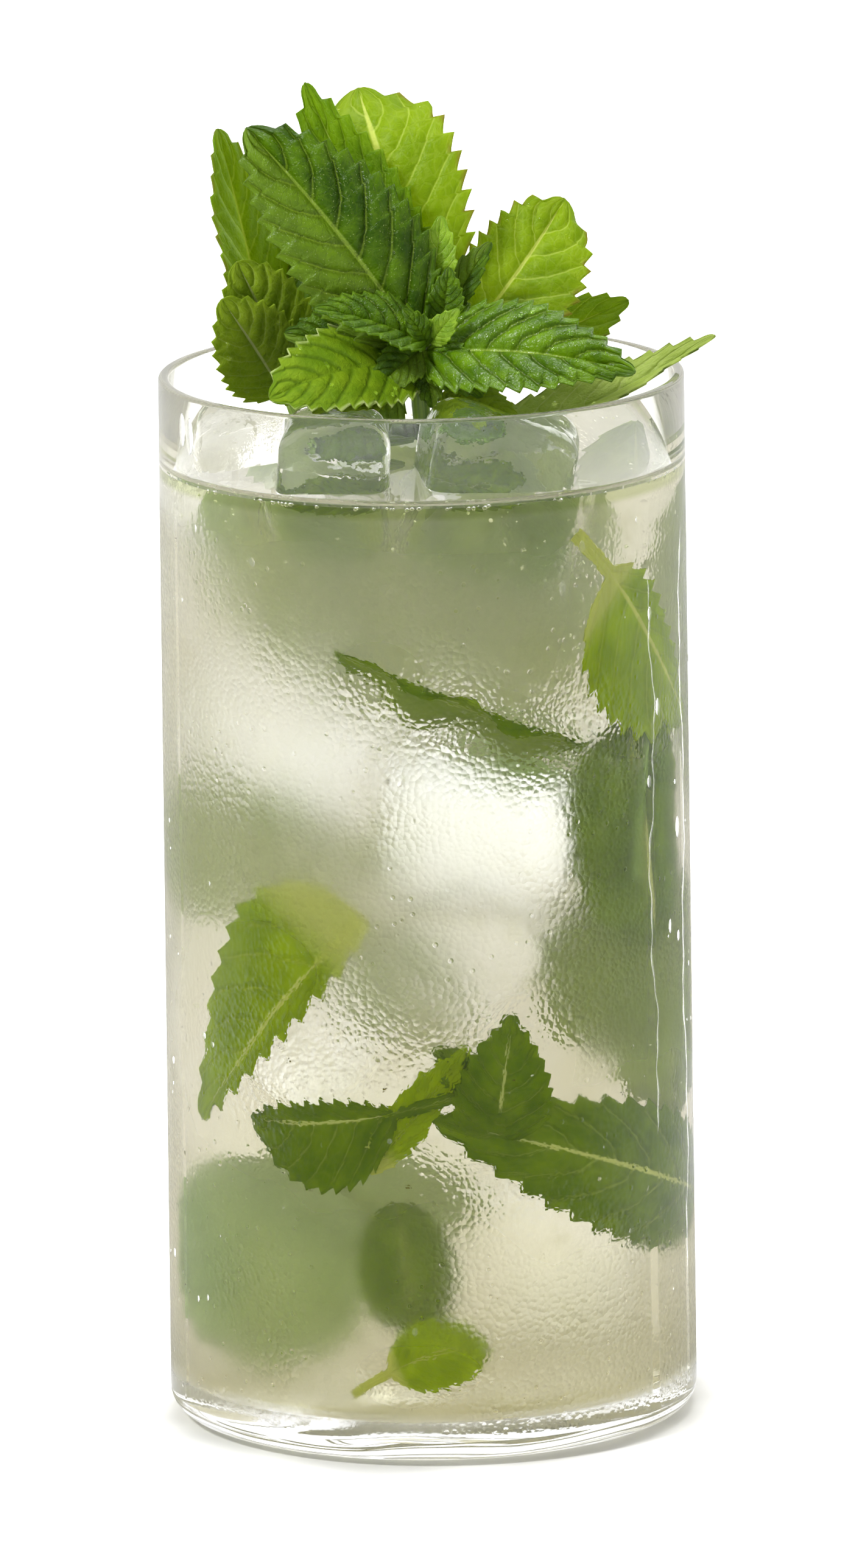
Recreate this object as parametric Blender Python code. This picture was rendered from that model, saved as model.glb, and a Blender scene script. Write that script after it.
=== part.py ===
"""Mojito in a straight tall glass, with ice standing out of the drink and a mint garnish.

Modelled in metres, +Z up, with the glass standing on z = 0 and its axis on the Z axis.
The front of the drink, as photographed, faces -Y. Every table below is in millimetres.
"""

import math
from typing import NamedTuple

import bpy
import numpy as np
from mathutils import Matrix, Vector

MM = 0.001

# Glass
GLASS_HEIGHT = 153.0
RIM_RADIUS = 38.0
FOOT_RADIUS = 38.5
WALL = 1.6
FLOOR_TOP = 6.0
HEEL = 3.2
CONTACT_RADIUS = 35.2
ROUND_STEPS = 64

# Drink
DRINK_LEVEL = 140.0
MENISCUS = 1.1
GAP = 0.3

# Ice
ICE_GRID = 6
ICE_SQUARENESS = 5.5
ICE_DENT = 0.35

# Mint
LEAF_THICKNESS = 0.36
PETIOLE_WIDTH = 1.1
TIP_WIDTH = 0.3
STEM_SIDES = 10


class Ice(NamedTuple):
    """One ice cube: centre, half sizes, turns about X, Y and Z in degrees, and a melt seed."""

    name: str
    centre: tuple
    half: tuple
    turns: tuple
    seed: int


class Stem(NamedTuple):
    """One mint stem: points it passes through, its radius at each end."""

    name: str
    points: tuple
    foot: float
    top: float


class Leaf(NamedTuple):
    """One mint leaf, from the end of its stalk to its tip, with its upper side along face.

    left and right scale the two halves. bow and hook lift the middle and the outer part
    towards face, sway moves the middle sideways, fold and cup lift both edges, wave ripples
    them. blunt_base and blunt_tip shape the outline, teeth is the count on each side, and
    stalk is the share of the length that is bare stalk.
    """

    name: str
    base: tuple
    tip: tuple
    face: tuple
    width: float
    left: float = 1.0
    right: float = 1.0
    bow: float = 1.0
    hook: float = 0.0
    sway: float = 0.0
    fold: float = 0.08
    cup: float = 0.0
    wave: float = 0.3
    blunt_base: float = 0.55
    blunt_tip: float = 0.85
    teeth: int = 8
    stalk: float = 0.0


ICE = (
    Ice("ice_front_left", (-12.4, -18.8, 139.6), (7.9, 8.6, 10.4), (4, -3, -4), 1),
    Ice("ice_front_right", (10.1, -17.8, 137.6), (11.0, 9.4, 12.4), (-3, 17, 4), 2),
    Ice("ice_left", (-26.4, -2.6, 137.4), (7.0, 8.2, 8.2), (5, -8, 14), 3),
)

STEMS = (
    Stem("stem_main", ((1.5, 3.0, 116), (0.9, 0.6, 134), (-0.2, -3.4, 151), (0.2, -3.9, 158.6)), 1.5, 1.1),
    Stem("stem_side", ((-11.0, 3.5, 122), (-15.5, 4.4, 138), (-19.6, 4.6, 150.2)), 1.3, 0.9),
)

LEAVES = (
    Leaf("leaf_front_left", (-0.9, -6.2, 159.3), (-24.7, -5, 189.8), (0.15, -1, 0.15), 20,
         left=0.85, right=0.95, bow=2.5, sway=0.6, fold=0.1, cup=-0.1, wave=0.5,
         blunt_base=0.62, blunt_tip=0.68, teeth=10),
    Leaf("leaf_back_left", (-0.4, -1.4, 159.6), (-15.9, 3, 194.5), (-0.1, -1, 0.15), 17.5,
         left=1.1, right=0.8, bow=1.5, wave=0.4, blunt_base=0.7, blunt_tip=0.8, teeth=9),
    Leaf("leaf_back_centre", (2.0, 1.2, 158.8), (-11.6, 14, 191.4), (0, -1, 0.25), 24,
         left=1.1, right=0.92, bow=2, hook=5, fold=0.05, blunt_base=0.6, blunt_tip=0.5, teeth=9),
    Leaf("leaf_far_left", (-21.2, 5.6, 150.6), (-29, 6, 187.9), (0.85, -0.5, 0.2), 16,
         left=1.15, right=0.55, bow=0.5, fold=0.1, teeth=9, stalk=0.06),
    Leaf("leaf_left_upper", (-18.8, 3.0, 151.2), (-26.3, -4.2, 170.2), (0.3, -1, 0.2), 14,
         fold=0.05, stalk=0.04),
    Leaf("leaf_left_lower", (-19.2, 2.6, 148.2), (-28.5, -8.4, 165.5), (0.3, -1, 0.1), 13,
         fold=0.05, stalk=0.12),
    Leaf("leaf_shaded", (-17.9, 6.6, 150.9), (-19.5, 16.5, 173.5), (-0.35, -1, 0.2), 11,
         fold=0.05, stalk=0.1),
    Leaf("leaf_front_low", (-1.6, -7, 155.2), (-21.7, -20, 152.9), (-0.1, -0.75, 0.65), 15.5,
         left=0.78, bow=2, sway=0.6, fold=0, teeth=9),
    Leaf("leaf_front_small", (0.4, -9, 158.9), (-15.2, -14.6, 165), (0.1, -0.6, 0.8), 9, fold=0.3),
    Leaf("leaf_bud_left", (2.8, -4.9, 160.6), (4.2, -5.2, 169.2), (0.2, -1, 0.3), 5.6,
         bow=0.8, fold=0.3, teeth=6),
    Leaf("leaf_bud_top", (1.6, -3.2, 165), (3.2, -3.4, 176.4), (0.1, -1, 0.2), 6,
         bow=0.6, fold=0.3, teeth=5),
    Leaf("leaf_bud_right", (2.7, -2.4, 160), (10.4, -1.6, 172.1), (-0.3, -1, 0.3), 6.5,
         right=0.6, bow=0.6, fold=0.35, teeth=6),
    Leaf("leaf_right_upper", (1.7, -1.0, 152.6), (21.1, 10.8, 176.2), (-0.1, -1, 0.3), 19,
         left=0.74, right=1.0, sway=1, blunt_base=0.6, blunt_tip=0.6, teeth=9, stalk=0.16),
    Leaf("leaf_right_front", (0.9, -7.6, 157.2), (30.7, -18, 155.8), (0.1, -0.7, 0.7), 17,
         right=0.93, bow=2.5, fold=0.05, blunt_base=0.66, teeth=10),
    Leaf("leaf_right_back", (1.6, -0.6, 150.4), (30.2, 11.6, 161), (0, -1, 0.3), 10,
         bow=0.5, teeth=9, stalk=0.25),
    Leaf("leaf_far_right", (8.6, -3.6, 141.7), (42.6, 2, 157.4), (-0.3, -0.5, 0.85), 10,
         bow=-1.2, fold=0.5, teeth=11, stalk=0.1),
)

FINISHES = {
    "glass": ((0.93, 0.95, 0.94), 0.04, 0.95),
    "drink": ((0.86, 0.89, 0.62), 0.06, 0.85),
    "ice": ((0.93, 0.96, 0.95), 0.05, 0.9),
    "leaf_upper": ((0.1, 0.2, 0.02), 0.4, 0.0),
    "leaf_backlit": ((0.28, 0.42, 0.06), 0.45, 0.0),
    "leaf_underside": ((0.19, 0.27, 0.05), 0.5, 0.0),
    "stem": ((0.2, 0.3, 0.05), 0.45, 0.0),
}

LEAF_FINISH = {
    "leaf_back_centre": "leaf_backlit",
    "leaf_far_left": "leaf_backlit",
    "leaf_right_upper": "leaf_backlit",
    "leaf_right_back": "leaf_backlit",
    "leaf_left_upper": "leaf_underside",
    "leaf_left_lower": "leaf_underside",
    "leaf_far_right": "leaf_underside",
}


def clear_scene():
    """Removes the startup objects."""
    for item in list(bpy.data.objects):
        bpy.data.objects.remove(item, do_unlink=True)


def material(name, finish):
    """A Principled material in the given finish."""
    color, roughness, transmission = FINISHES[finish]
    made = bpy.data.materials.new(name)
    made.use_nodes = True
    shader = made.node_tree.nodes["Principled BSDF"]
    shader.inputs["Base Color"].default_value = (*color, 1)
    shader.inputs["Roughness"].default_value = roughness
    shader.inputs["Transmission Weight"].default_value = transmission
    return made


def solid(name, points, faces, finish, smooth=True):
    """An object made of the given points in millimetres and faces."""
    mesh = bpy.data.meshes.new(name)
    mesh.from_pydata([tuple(float(c) * MM for c in p) for p in points], [], faces)
    mesh.validate()
    mesh.update()
    if smooth:
        mesh.shade_smooth()
    made = bpy.data.objects.new(name, mesh)
    made.data.materials.append(material(name, finish))
    bpy.context.scene.collection.objects.link(made)
    return made


def lathe(name, profile, finish):
    """A solid turned about the Z axis. The profile runs from axis to axis, outside first."""
    points = [(0, 0, profile[0][1])]
    for radius, z in profile[1:-1]:
        for i in range(ROUND_STEPS):
            turn = math.tau * i / ROUND_STEPS
            points.append((radius * math.cos(turn), radius * math.sin(turn), z))
    points.append((0, 0, profile[-1][1]))
    last = len(points) - 1
    rings = len(profile) - 2
    faces = []
    for i in range(ROUND_STEPS):
        j = (i + 1) % ROUND_STEPS
        faces.append((0, 1 + j, 1 + i))
        for ring in range(rings - 1):
            low, high = 1 + ring * ROUND_STEPS, 1 + (ring + 1) * ROUND_STEPS
            faces.append((low + i, low + j, high + j, high + i))
        top = 1 + (rings - 1) * ROUND_STEPS
        faces.append((top + i, top + j, last))
    return solid(name, points, faces, finish)


def arc(centre, radius, start, end, steps):
    """Profile points on an arc, with angles in degrees from the +radius direction."""
    turns = (math.radians(start + (end - start) * i / steps) for i in range(steps + 1))
    return [(centre[0] + radius * math.cos(t), centre[1] + radius * math.sin(t)) for t in turns]


def outer_radius(z):
    """The glass's outer radius at height z, which flares a little towards the foot."""
    return FOOT_RADIUS + (RIM_RADIUS - FOOT_RADIUS) * z / GLASS_HEIGHT


def inner_radius(z):
    """The glass's inner radius at height z."""
    return outer_radius(z) - WALL


def glass_profile():
    """The glass's section: foot, heel, outer wall, lip, inner wall and floor."""
    lip = WALL / 2
    profile = [(0, 0), (CONTACT_RADIUS, 0)]
    profile += arc((outer_radius(HEEL) - HEEL, HEEL), HEEL, -75, 0, 4)
    profile.append((outer_radius(80), 80))
    profile += arc((RIM_RADIUS - lip, GLASS_HEIGHT - lip), lip, 0, 180, 5)
    profile.append((inner_radius(80), 80))
    corner = 4.0
    profile += arc((inner_radius(FLOOR_TOP + corner) - corner, FLOOR_TOP + corner), corner, 0, -78, 4)
    profile += [(26, FLOOR_TOP - 0.1), (0, FLOOR_TOP - 0.2)]
    return profile


def drink_profile():
    """The drink's section: it follows the glass's inside a small gap away, up to its level."""
    corner = 4.0
    foot = FLOOR_TOP + corner
    profile = [(0, FLOOR_TOP - 0.2 + GAP), (26, FLOOR_TOP - 0.1 + GAP)]
    profile += arc((inner_radius(foot) - corner, foot), corner - GAP, -78, 0, 4)
    top = DRINK_LEVEL + MENISCUS
    profile += [(inner_radius(80) - GAP, 80), (inner_radius(top) - GAP, top)]
    profile += [(inner_radius(top) - GAP - 0.7, DRINK_LEVEL + 0.35),
                (inner_radius(top) - GAP - 2.2, DRINK_LEVEL), (0, DRINK_LEVEL)]
    return profile


def ice_points(ice, grow):
    """Points and faces of a softly rounded, slightly melted cube, grown outwards by grow."""
    steps = ICE_GRID
    index, points, faces = {}, [], []

    def corner(a, b, c):
        key = (a, b, c)
        if key not in index:
            way = np.array(key, float) / steps * 2 - 1
            way = np.tan(way * 0.72) / math.tan(0.72)
            size = (np.abs(way) ** ICE_SQUARENESS).sum() ** (1 / ICE_SQUARENESS)
            way = way / size
            dent = sum(math.sin(way[k] * (2.3 + 0.7 * k) + way[(k + 1) % 3] * 1.9 + ice.seed * (1.7 + k))
                       for k in range(3))
            index[key] = len(points)
            points.append(way * (np.array(ice.half) + grow + ICE_DENT * dent))
        return index[key]

    for axis in range(3):
        for end in (0, steps):
            for u in range(steps):
                for v in range(steps):
                    quad = []
                    for du, dv in ((0, 0), (1, 0), (1, 1), (0, 1)):
                        key = [0, 0, 0]
                        key[axis] = end
                        key[(axis + 1) % 3] = u + du
                        key[(axis + 2) % 3] = v + dv
                        quad.append(corner(*key))
                    faces.append(tuple(quad if end else quad[::-1]))
    turns = Matrix.Identity(3)
    for angle, axis in zip(ice.turns, "XYZ"):
        turns = Matrix.Rotation(math.radians(angle), 3, axis) @ turns
    return [turns @ Vector(p) + Vector(ice.centre) for p in points], faces


def stem_points(stem, grow):
    """Points and faces of a stem: a tube through its points with a square-ish section."""
    way = [Vector(p) for p in stem.points]
    path = []
    for i in range(len(way) - 1):
        before, after = way[max(i - 1, 0)], way[min(i + 2, len(way) - 1)]
        for k in range(4):
            t = k / 4
            path.append(0.5 * (2 * way[i] + (way[i + 1] - before) * t
                               + (2 * before - 5 * way[i] + 4 * way[i + 1] - after) * t * t
                               + (3 * way[i] - before - 3 * way[i + 1] + after) * t ** 3))
    path.append(way[-1])
    if grow:
        path[0] = path[0] - (path[1] - path[0]).normalized() * grow
    points, faces = [], []
    for i, place in enumerate(path):
        along = (path[min(i + 1, len(path) - 1)] - path[max(i - 1, 0)]).normalized()
        side = Vector((0, 1, 0)).cross(along).normalized()
        front = along.cross(side)
        radius = stem.foot + (stem.top - stem.foot) * i / (len(path) - 1) + grow
        for k in range(STEM_SIDES):
            turn = math.tau * k / STEM_SIDES
            points.append(place + (side * math.cos(turn) + front * math.sin(turn)) * radius)
    for i in range(len(path) - 1):
        for k in range(STEM_SIDES):
            a, b = i * STEM_SIDES + k, i * STEM_SIDES + (k + 1) % STEM_SIDES
            faces.append((a, b, b + STEM_SIDES, a + STEM_SIDES))
    last = len(points) - STEM_SIDES
    faces.append(tuple(reversed(range(STEM_SIDES))))
    faces.append(tuple(last + k for k in range(STEM_SIDES)))
    return points, faces


def leaf_grid(leaf):
    """The middle surface of a leaf as rows of points, from its stalk to its tip."""
    base, tip = np.array(leaf.base, float), np.array(leaf.tip, float)
    run = tip - base
    length = np.linalg.norm(run)
    along = run / length
    face = np.array(leaf.face, float)
    face = face - along * face.dot(along)
    face = face / np.linalg.norm(face)
    side = np.cross(along, face)
    peak = leaf.blunt_base / (leaf.blunt_base + leaf.blunt_tip)
    tallest = peak ** leaf.blunt_base * (1 - peak) ** leaf.blunt_tip
    stops = [(k + u, w) for k in range(leaf.teeth) for u, w in ((0.0, 0.0), (0.85, 1.0))]
    stops.append((leaf.teeth, 0.0))
    if leaf.stalk:
        stops.insert(0, (None, 0.0))
    rows = []
    for place, jut in stops:
        blade = 0.0 if place is None else place / leaf.teeth
        s = 0.0 if place is None else leaf.stalk + (1 - leaf.stalk) * blade
        middle = base + run * s + 4 * s * (1 - s) * (leaf.bow * face + leaf.sway * side)
        middle = middle + 6.75 * leaf.hook * s * s * (1 - s) * face
        shape = blade ** leaf.blunt_base * (1 - blade) ** leaf.blunt_tip / tallest
        least = (PETIOLE_WIDTH if blade < 0.5 else TIP_WIDTH) / 2
        row = []
        for v in (-1, -0.5, 0, 0.5, 1):
            half = leaf.width / 2 * shape * (leaf.right if v > 0 else leaf.left)
            reach = max(half * (1 + 0.14 * (jut - 0.35) * v * v * min(1, blade * 6)), least) * abs(v)
            ripple = leaf.wave * math.sin(math.tau * (2.5 * blade + (0.25 if v > 0 else 0)))
            ripple *= min(1, 4 * (1 - blade), 6 * blade)
            raised = reach * math.sin(leaf.fold) + (leaf.cup * half + ripple) * v * v
            row.append(middle + side * math.copysign(reach, v) * math.cos(leaf.fold)
                       + face * raised + along * 0.07 * jut * v * v * length / leaf.teeth)
        rows.append(row)
    return np.array(rows)


def leaf_points(leaf):
    """Points and faces of a leaf: its middle surface given thickness, both sides split alike."""
    grid = leaf_grid(leaf)
    rows, columns = grid.shape[:2]
    ahead = np.gradient(grid, axis=0)
    over = np.gradient(grid, axis=1)
    normal = np.cross(over, ahead)
    normal = -normal / np.linalg.norm(normal, axis=2, keepdims=True)
    offset = -normal * LEAF_THICKNESS / 2
    points = np.concatenate([(grid + offset).reshape(-1, 3), (grid - offset).reshape(-1, 3)])
    under = rows * columns
    faces = []
    for i in range(rows - 1):
        for j in range(columns - 1):
            a, b = i * columns + j, i * columns + j + 1
            c, d = b + columns, a + columns
            for three in ((a, b, c), (a, c, d)):
                faces.append(three)
                faces.append(tuple(under + k for k in reversed(three)))
    border = [j for j in range(columns)]
    border += [i * columns + columns - 1 for i in range(1, rows)]
    border += [(rows - 1) * columns + j for j in range(columns - 2, -1, -1)]
    border += [i * columns for i in range(rows - 2, 0, -1)]
    for a, b in zip(border, border[1:] + border[:1]):
        faces.append((b, a, under + a))
        faces.append((b, under + a, under + b))
    return points, faces


def cutter(name, points, faces):
    """A hidden solid that only cuts the drink."""
    made = solid(name, points, faces, "ice")
    made.hide_render = True
    made.display_type = "WIRE"
    return made


def cut(target, tool):
    """Takes a hidden solid out of the target."""
    modifier = target.modifiers.new(tool.name, "BOOLEAN")
    modifier.operation = "DIFFERENCE"
    modifier.solver = "EXACT"
    modifier.object = tool


def main():
    """Builds every piece."""
    clear_scene()
    lathe("glass", glass_profile(), "glass")
    drink = lathe("drink", drink_profile(), "drink")
    for ice in ICE:
        solid(ice.name, *ice_points(ice, 0), "ice")
        cut(drink, cutter(ice.name + "_pocket", *ice_points(ice, GAP)))
    for stem in STEMS:
        solid(stem.name, *stem_points(stem, 0), "stem")
        cut(drink, cutter(stem.name + "_pocket", *stem_points(stem, GAP)))
    for leaf in LEAVES:
        solid(leaf.name, *leaf_points(leaf), LEAF_FINISH.get(leaf.name, "leaf_upper"))


main()
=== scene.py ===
"""A mint and lime highball in a straight tumbler: its looks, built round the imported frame."""

import logging
import math
import random
from collections.abc import Callable, Sequence
from dataclasses import dataclass, field
from enum import Enum

import bmesh
import bpy
import numpy as np
from mathutils import Matrix, Vector


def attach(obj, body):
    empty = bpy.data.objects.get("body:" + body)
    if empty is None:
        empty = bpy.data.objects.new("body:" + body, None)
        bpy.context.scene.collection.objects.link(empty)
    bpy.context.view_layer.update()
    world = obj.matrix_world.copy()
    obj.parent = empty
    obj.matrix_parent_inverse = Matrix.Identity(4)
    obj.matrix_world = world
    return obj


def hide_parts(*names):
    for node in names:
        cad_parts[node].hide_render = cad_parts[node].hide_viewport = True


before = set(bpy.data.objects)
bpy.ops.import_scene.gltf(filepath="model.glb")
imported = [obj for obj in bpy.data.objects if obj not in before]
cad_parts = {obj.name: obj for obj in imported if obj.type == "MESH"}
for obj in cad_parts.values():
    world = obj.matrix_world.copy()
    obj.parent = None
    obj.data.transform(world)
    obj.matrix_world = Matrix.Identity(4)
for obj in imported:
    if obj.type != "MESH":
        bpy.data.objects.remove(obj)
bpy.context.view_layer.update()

MM = 0.001
FLAT = 180.0
NEAR = 0.01
ROOT = "root"
Spot = tuple[float, float, float]
Colour = tuple[float, float, float]
Socket = bpy.types.NodeSocket
log = logging.getLogger("highball")


def paint(colour: Colour) -> tuple[float, float, float, float]:
    """A colour as screens show it in 0 to 255, turned into the renderer's linear numbers.

    Args:
        colour: red, green and blue from 0 to 255.

    Returns:
        Linear red, green and blue, and a full alpha.
    """
    def straight(part: float) -> float:
        """One channel made linear."""
        part /= 255
        return part / 12.92 if part <= 0.04045 else ((part + 0.055) / 1.055) ** 2.4

    return (straight(colour[0]), straight(colour[1]), straight(colour[2]), 1.0)


def unit(way: np.ndarray) -> np.ndarray:
    """The same direction at length one."""
    return way / np.linalg.norm(way, axis=-1, keepdims=True)


def ease(value: np.ndarray | float, low: float, high: float) -> np.ndarray:
    """A smooth step from 0 at low to 1 at high."""
    share = np.clip((np.asarray(value, float) - low) / (high - low), 0, 1)
    return share * share * (3 - 2 * share)


def around(turn: float, radius: float, z: float) -> Vector:
    """The place at a turn from the front round the glass's axis, all lengths in the same unit."""
    return Vector((math.sin(turn) * radius, -math.cos(turn) * radius, z))


class Bench:
    """The bench a piece is shaped on: selections, edit mode and the last steps."""

    @staticmethod
    def take(piece: bpy.types.Object | None) -> None:
        """Lets go of everything, leaves edit mode and picks up one piece alone.

        Args:
            piece: the piece, or None to pick up nothing.
        """
        if bpy.context.object is not None and bpy.context.object.mode != "OBJECT":
            bpy.ops.object.mode_set(mode="OBJECT")
        bpy.ops.object.select_all(action="DESELECT")
        if piece is not None:
            piece.select_set(True)
            bpy.context.view_layer.objects.active = piece

    @staticmethod
    def choose(piece: bpy.types.Object, kind: str, test: Callable[[Vector], bool]) -> None:
        """In edit mode, selects the edges or faces whose every vertex passes a test.

        Args:
            piece: the object being edited.
            kind: EDGE or FACE.
            test: is given each vertex's place in millimetres.
        """
        bpy.ops.mesh.select_mode(type=kind)
        mesh = bmesh.from_edit_mesh(piece.data)
        for part in (*mesh.verts, *mesh.edges, *mesh.faces):
            part.select = False
        for part in mesh.edges if kind == "EDGE" else mesh.faces:
            if all(test(spot.co / MM) for spot in part.verts):
                part.select = True
        mesh.select_flush_mode()
        bmesh.update_edit_mesh(piece.data)

    @staticmethod
    def points(piece: bpy.types.Object) -> np.ndarray:
        """The vertices of a piece.

        Args:
            piece: the piece, in object mode.

        Returns:
            Points by three, in the piece's own units.
        """
        flat = np.empty(len(piece.data.vertices) * 3)
        piece.data.vertices.foreach_get("co", flat)
        return flat.reshape(-1, 3)

    @staticmethod
    def place(piece: bpy.types.Object, points: np.ndarray) -> None:
        """Moves the vertices of a piece to points given in metres."""
        piece.data.vertices.foreach_set("co", np.ascontiguousarray(points, float).ravel())
        piece.data.update()

    @staticmethod
    def sheet(name: str, grid: np.ndarray) -> bpy.types.Object:
        """A grid primitive whose vertices are moved to rows of points, with its own UV map.

        Args:
            name: the name of the piece.
            grid: rows by columns by three, in millimetres.

        Returns:
            The sheet, which is open and has no thickness.
        """
        rows, columns = grid.shape[:2]
        Bench.take(None)
        bpy.ops.mesh.primitive_grid_add(x_subdivisions=columns - 1, y_subdivisions=rows - 1, size=2)
        piece = bpy.context.object
        piece.name = piece.data.name = name
        flat = Bench.points(piece)
        column = np.rint((flat[:, 0] + 1) / 2 * (columns - 1)).astype(int)
        row = np.rint((flat[:, 1] + 1) / 2 * (rows - 1)).astype(int)
        Bench.place(piece, grid[row, column] * MM)
        return piece

    @staticmethod
    def apply(piece: bpy.types.Object) -> None:
        """Applies every modifier of a piece, in order.

        Args:
            piece: the piece.
        """
        Bench.take(piece)
        for modifier in list(piece.modifiers):
            bpy.ops.object.modifier_apply(modifier=modifier.name)

    @staticmethod
    def tube(name: str, grid: np.ndarray) -> bpy.types.Object:
        """A closed tube of rings of points, each ring's last point on its first.

        Args:
            name: the name of the piece.
            grid: rings by points by three, in millimetres.

        Returns:
            The tube, with its seam merged and both its ends closed.
        """
        piece = Bench.sheet(name, grid)
        Bench.take(piece)
        bpy.ops.object.mode_set(mode="EDIT")
        bpy.ops.mesh.select_all(action="SELECT")
        bpy.ops.mesh.remove_doubles(threshold=0.001 * MM)
        bpy.ops.mesh.select_all(action="DESELECT")
        bpy.ops.mesh.select_mode(type="EDGE")
        bpy.ops.mesh.select_non_manifold()
        bpy.ops.mesh.edge_face_add()
        bpy.ops.mesh.select_all(action="SELECT")
        bpy.ops.mesh.normals_make_consistent(inside=False)
        bpy.ops.object.mode_set(mode="OBJECT")
        return piece

    @staticmethod
    def strew(name: str, spots: Sequence[tuple[Vector, Matrix, Spot]], cuts: int,
              material: bpy.types.Material, slot: str, half: bool = False) -> bpy.types.Object:
        """One finished mesh of many small round bodies, each a copy of one modelled ball.

        Args:
            name: the name of the joined piece.
            spots: each body's place, turn and half sizes, in millimetres.
            cuts: how finely the ball is divided.
            material: the bodies' finish.
            slot: handed on to Bench.finish, which does not use it.
            half: cuts the ball at its middle and closes it there, with a crisp edge.

        Returns:
            The finished piece.
        """
        Bench.take(None)
        bpy.ops.mesh.primitive_ico_sphere_add(subdivisions=cuts, radius=1)
        ball = bpy.context.object
        if half:
            bpy.ops.object.mode_set(mode="EDIT")
            bpy.ops.mesh.select_all(action="SELECT")
            bpy.ops.mesh.bisect(plane_co=(0, 0, 0), plane_no=(0, 1, 0), clear_outer=True, use_fill=True)
            bpy.ops.object.mode_set(mode="OBJECT")
        points = Bench.points(ball)
        faces = [tuple(face.vertices) for face in ball.data.polygons]
        bpy.data.objects.remove(ball)
        everywhere, every = [], []
        for copy, (place, turn, size) in enumerate(spots):
            everywhere.append(points * size @ np.array(turn.to_3x3()).T + np.array(place))
            every.extend(tuple(v + copy * len(points) for v in face) for face in faces)
        joined = bpy.data.meshes.new(name)
        joined.from_pydata((np.concatenate(everywhere) * MM).tolist(), [], every)
        joined.update()
        piece = bpy.data.objects.new(name, joined)
        bpy.context.scene.collection.objects.link(piece)
        return Bench.finish(piece, name, [material], slot, angle=60.0 if half else FLAT)

    @staticmethod
    def finish(piece: bpy.types.Object, name: str, materials: Sequence[bpy.types.Material],
               slot: str, nodes: Sequence[str] = (), angle: float = FLAT) -> bpy.types.Object:
        """Names, smooths and dresses a piece, and sets it on the object's one body.

        Args:
            piece: the shaped piece.
            name: its name.
            materials: its material slots, in order.
            slot: not used.
            nodes: the CAD nodes that it stands for.
            angle: edges sharper than this many degrees stay crisp.

        Returns:
            The same piece.
        """
        piece.name = piece.data.name = name
        Bench.take(piece)
        bpy.ops.object.transform_apply(location=True, rotation=True, scale=True)
        if angle < FLAT:
            bpy.ops.object.shade_smooth_by_angle(angle=math.radians(angle))
        else:
            bpy.ops.object.shade_smooth()
        piece.data.materials.clear()
        for material in materials:
            piece.data.materials.append(material)
        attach(piece, ROOT)
        if nodes:
            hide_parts(*nodes)
        log.info("%s: %d faces", name, len(piece.data.polygons))
        Bench.take(None)
        return piece


class Sums:
    """A node tree, written as sums of sockets."""

    def __init__(self, tree: bpy.types.NodeTree) -> None:
        """Takes up a tree."""
        self.tree = tree

    def put(self, socket: Socket, value: object) -> None:
        """Links a socket to another one, or sets its value.

        Args:
            socket: the input.
            value: another socket, a value, or None to leave the input as it is.
        """
        if isinstance(value, bpy.types.NodeSocket):
            self.tree.links.new(value, socket)
        elif value is not None:
            socket.default_value = value

    def add(self, kind: str, inputs: dict[str | int, object], **settings: object) -> bpy.types.Node:
        """Adds one node.

        Args:
            kind: the node's type, without ShaderNode.
            inputs: a value or a socket for each input, by name or number.
            settings: the node's own settings.

        Returns:
            The node.
        """
        node = self.tree.nodes.new("ShaderNode" + kind)
        for key, value in settings.items():
            setattr(node, key, value)
        for key, value in inputs.items():
            self.put(node.inputs[key], value)
        return node

    def sum(self, how: str, *terms: object) -> Socket:
        """A Math node of one to three terms."""
        return self.add("Math", dict(enumerate(terms)), operation=how).outputs[0]

    def times(self, first: object, second: object) -> Socket:
        """The product of two terms."""
        return self.sum("MULTIPLY", first, second)

    def plus(self, first: object, second: object) -> Socket:
        """Two terms together."""
        return self.sum("ADD", first, second)

    def less(self, first: object, second: object) -> Socket:
        """The first term less the second."""
        return self.sum("SUBTRACT", first, second)

    def line(self, value: object, slope: object, start: object) -> Socket:
        """A value times its slope, on top of a start."""
        return self.sum("MULTIPLY_ADD", value, slope, start)

    def reach(self, value: Socket, low: float, high: float, start: float = 0.0,
              end: float = 1.0) -> Socket:
        """A smooth change from start at low to end at high."""
        return self.add("MapRange", {0: value, 1: low, 2: high, 3: start, 4: end},
                        interpolation_type="SMOOTHSTEP").outputs[0]

    def length(self, x: Socket, y: Socket) -> Socket:
        """The length of a way of two numbers."""
        return self.sum("SQRT", self.plus(self.times(x, x), self.times(y, y)))

    def parts(self, vector: Socket) -> tuple[Socket, Socket, Socket]:
        """The three numbers of a vector."""
        outputs = self.add("SeparateXYZ", {0: vector}).outputs
        return outputs[0], outputs[1], outputs[2]


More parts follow.
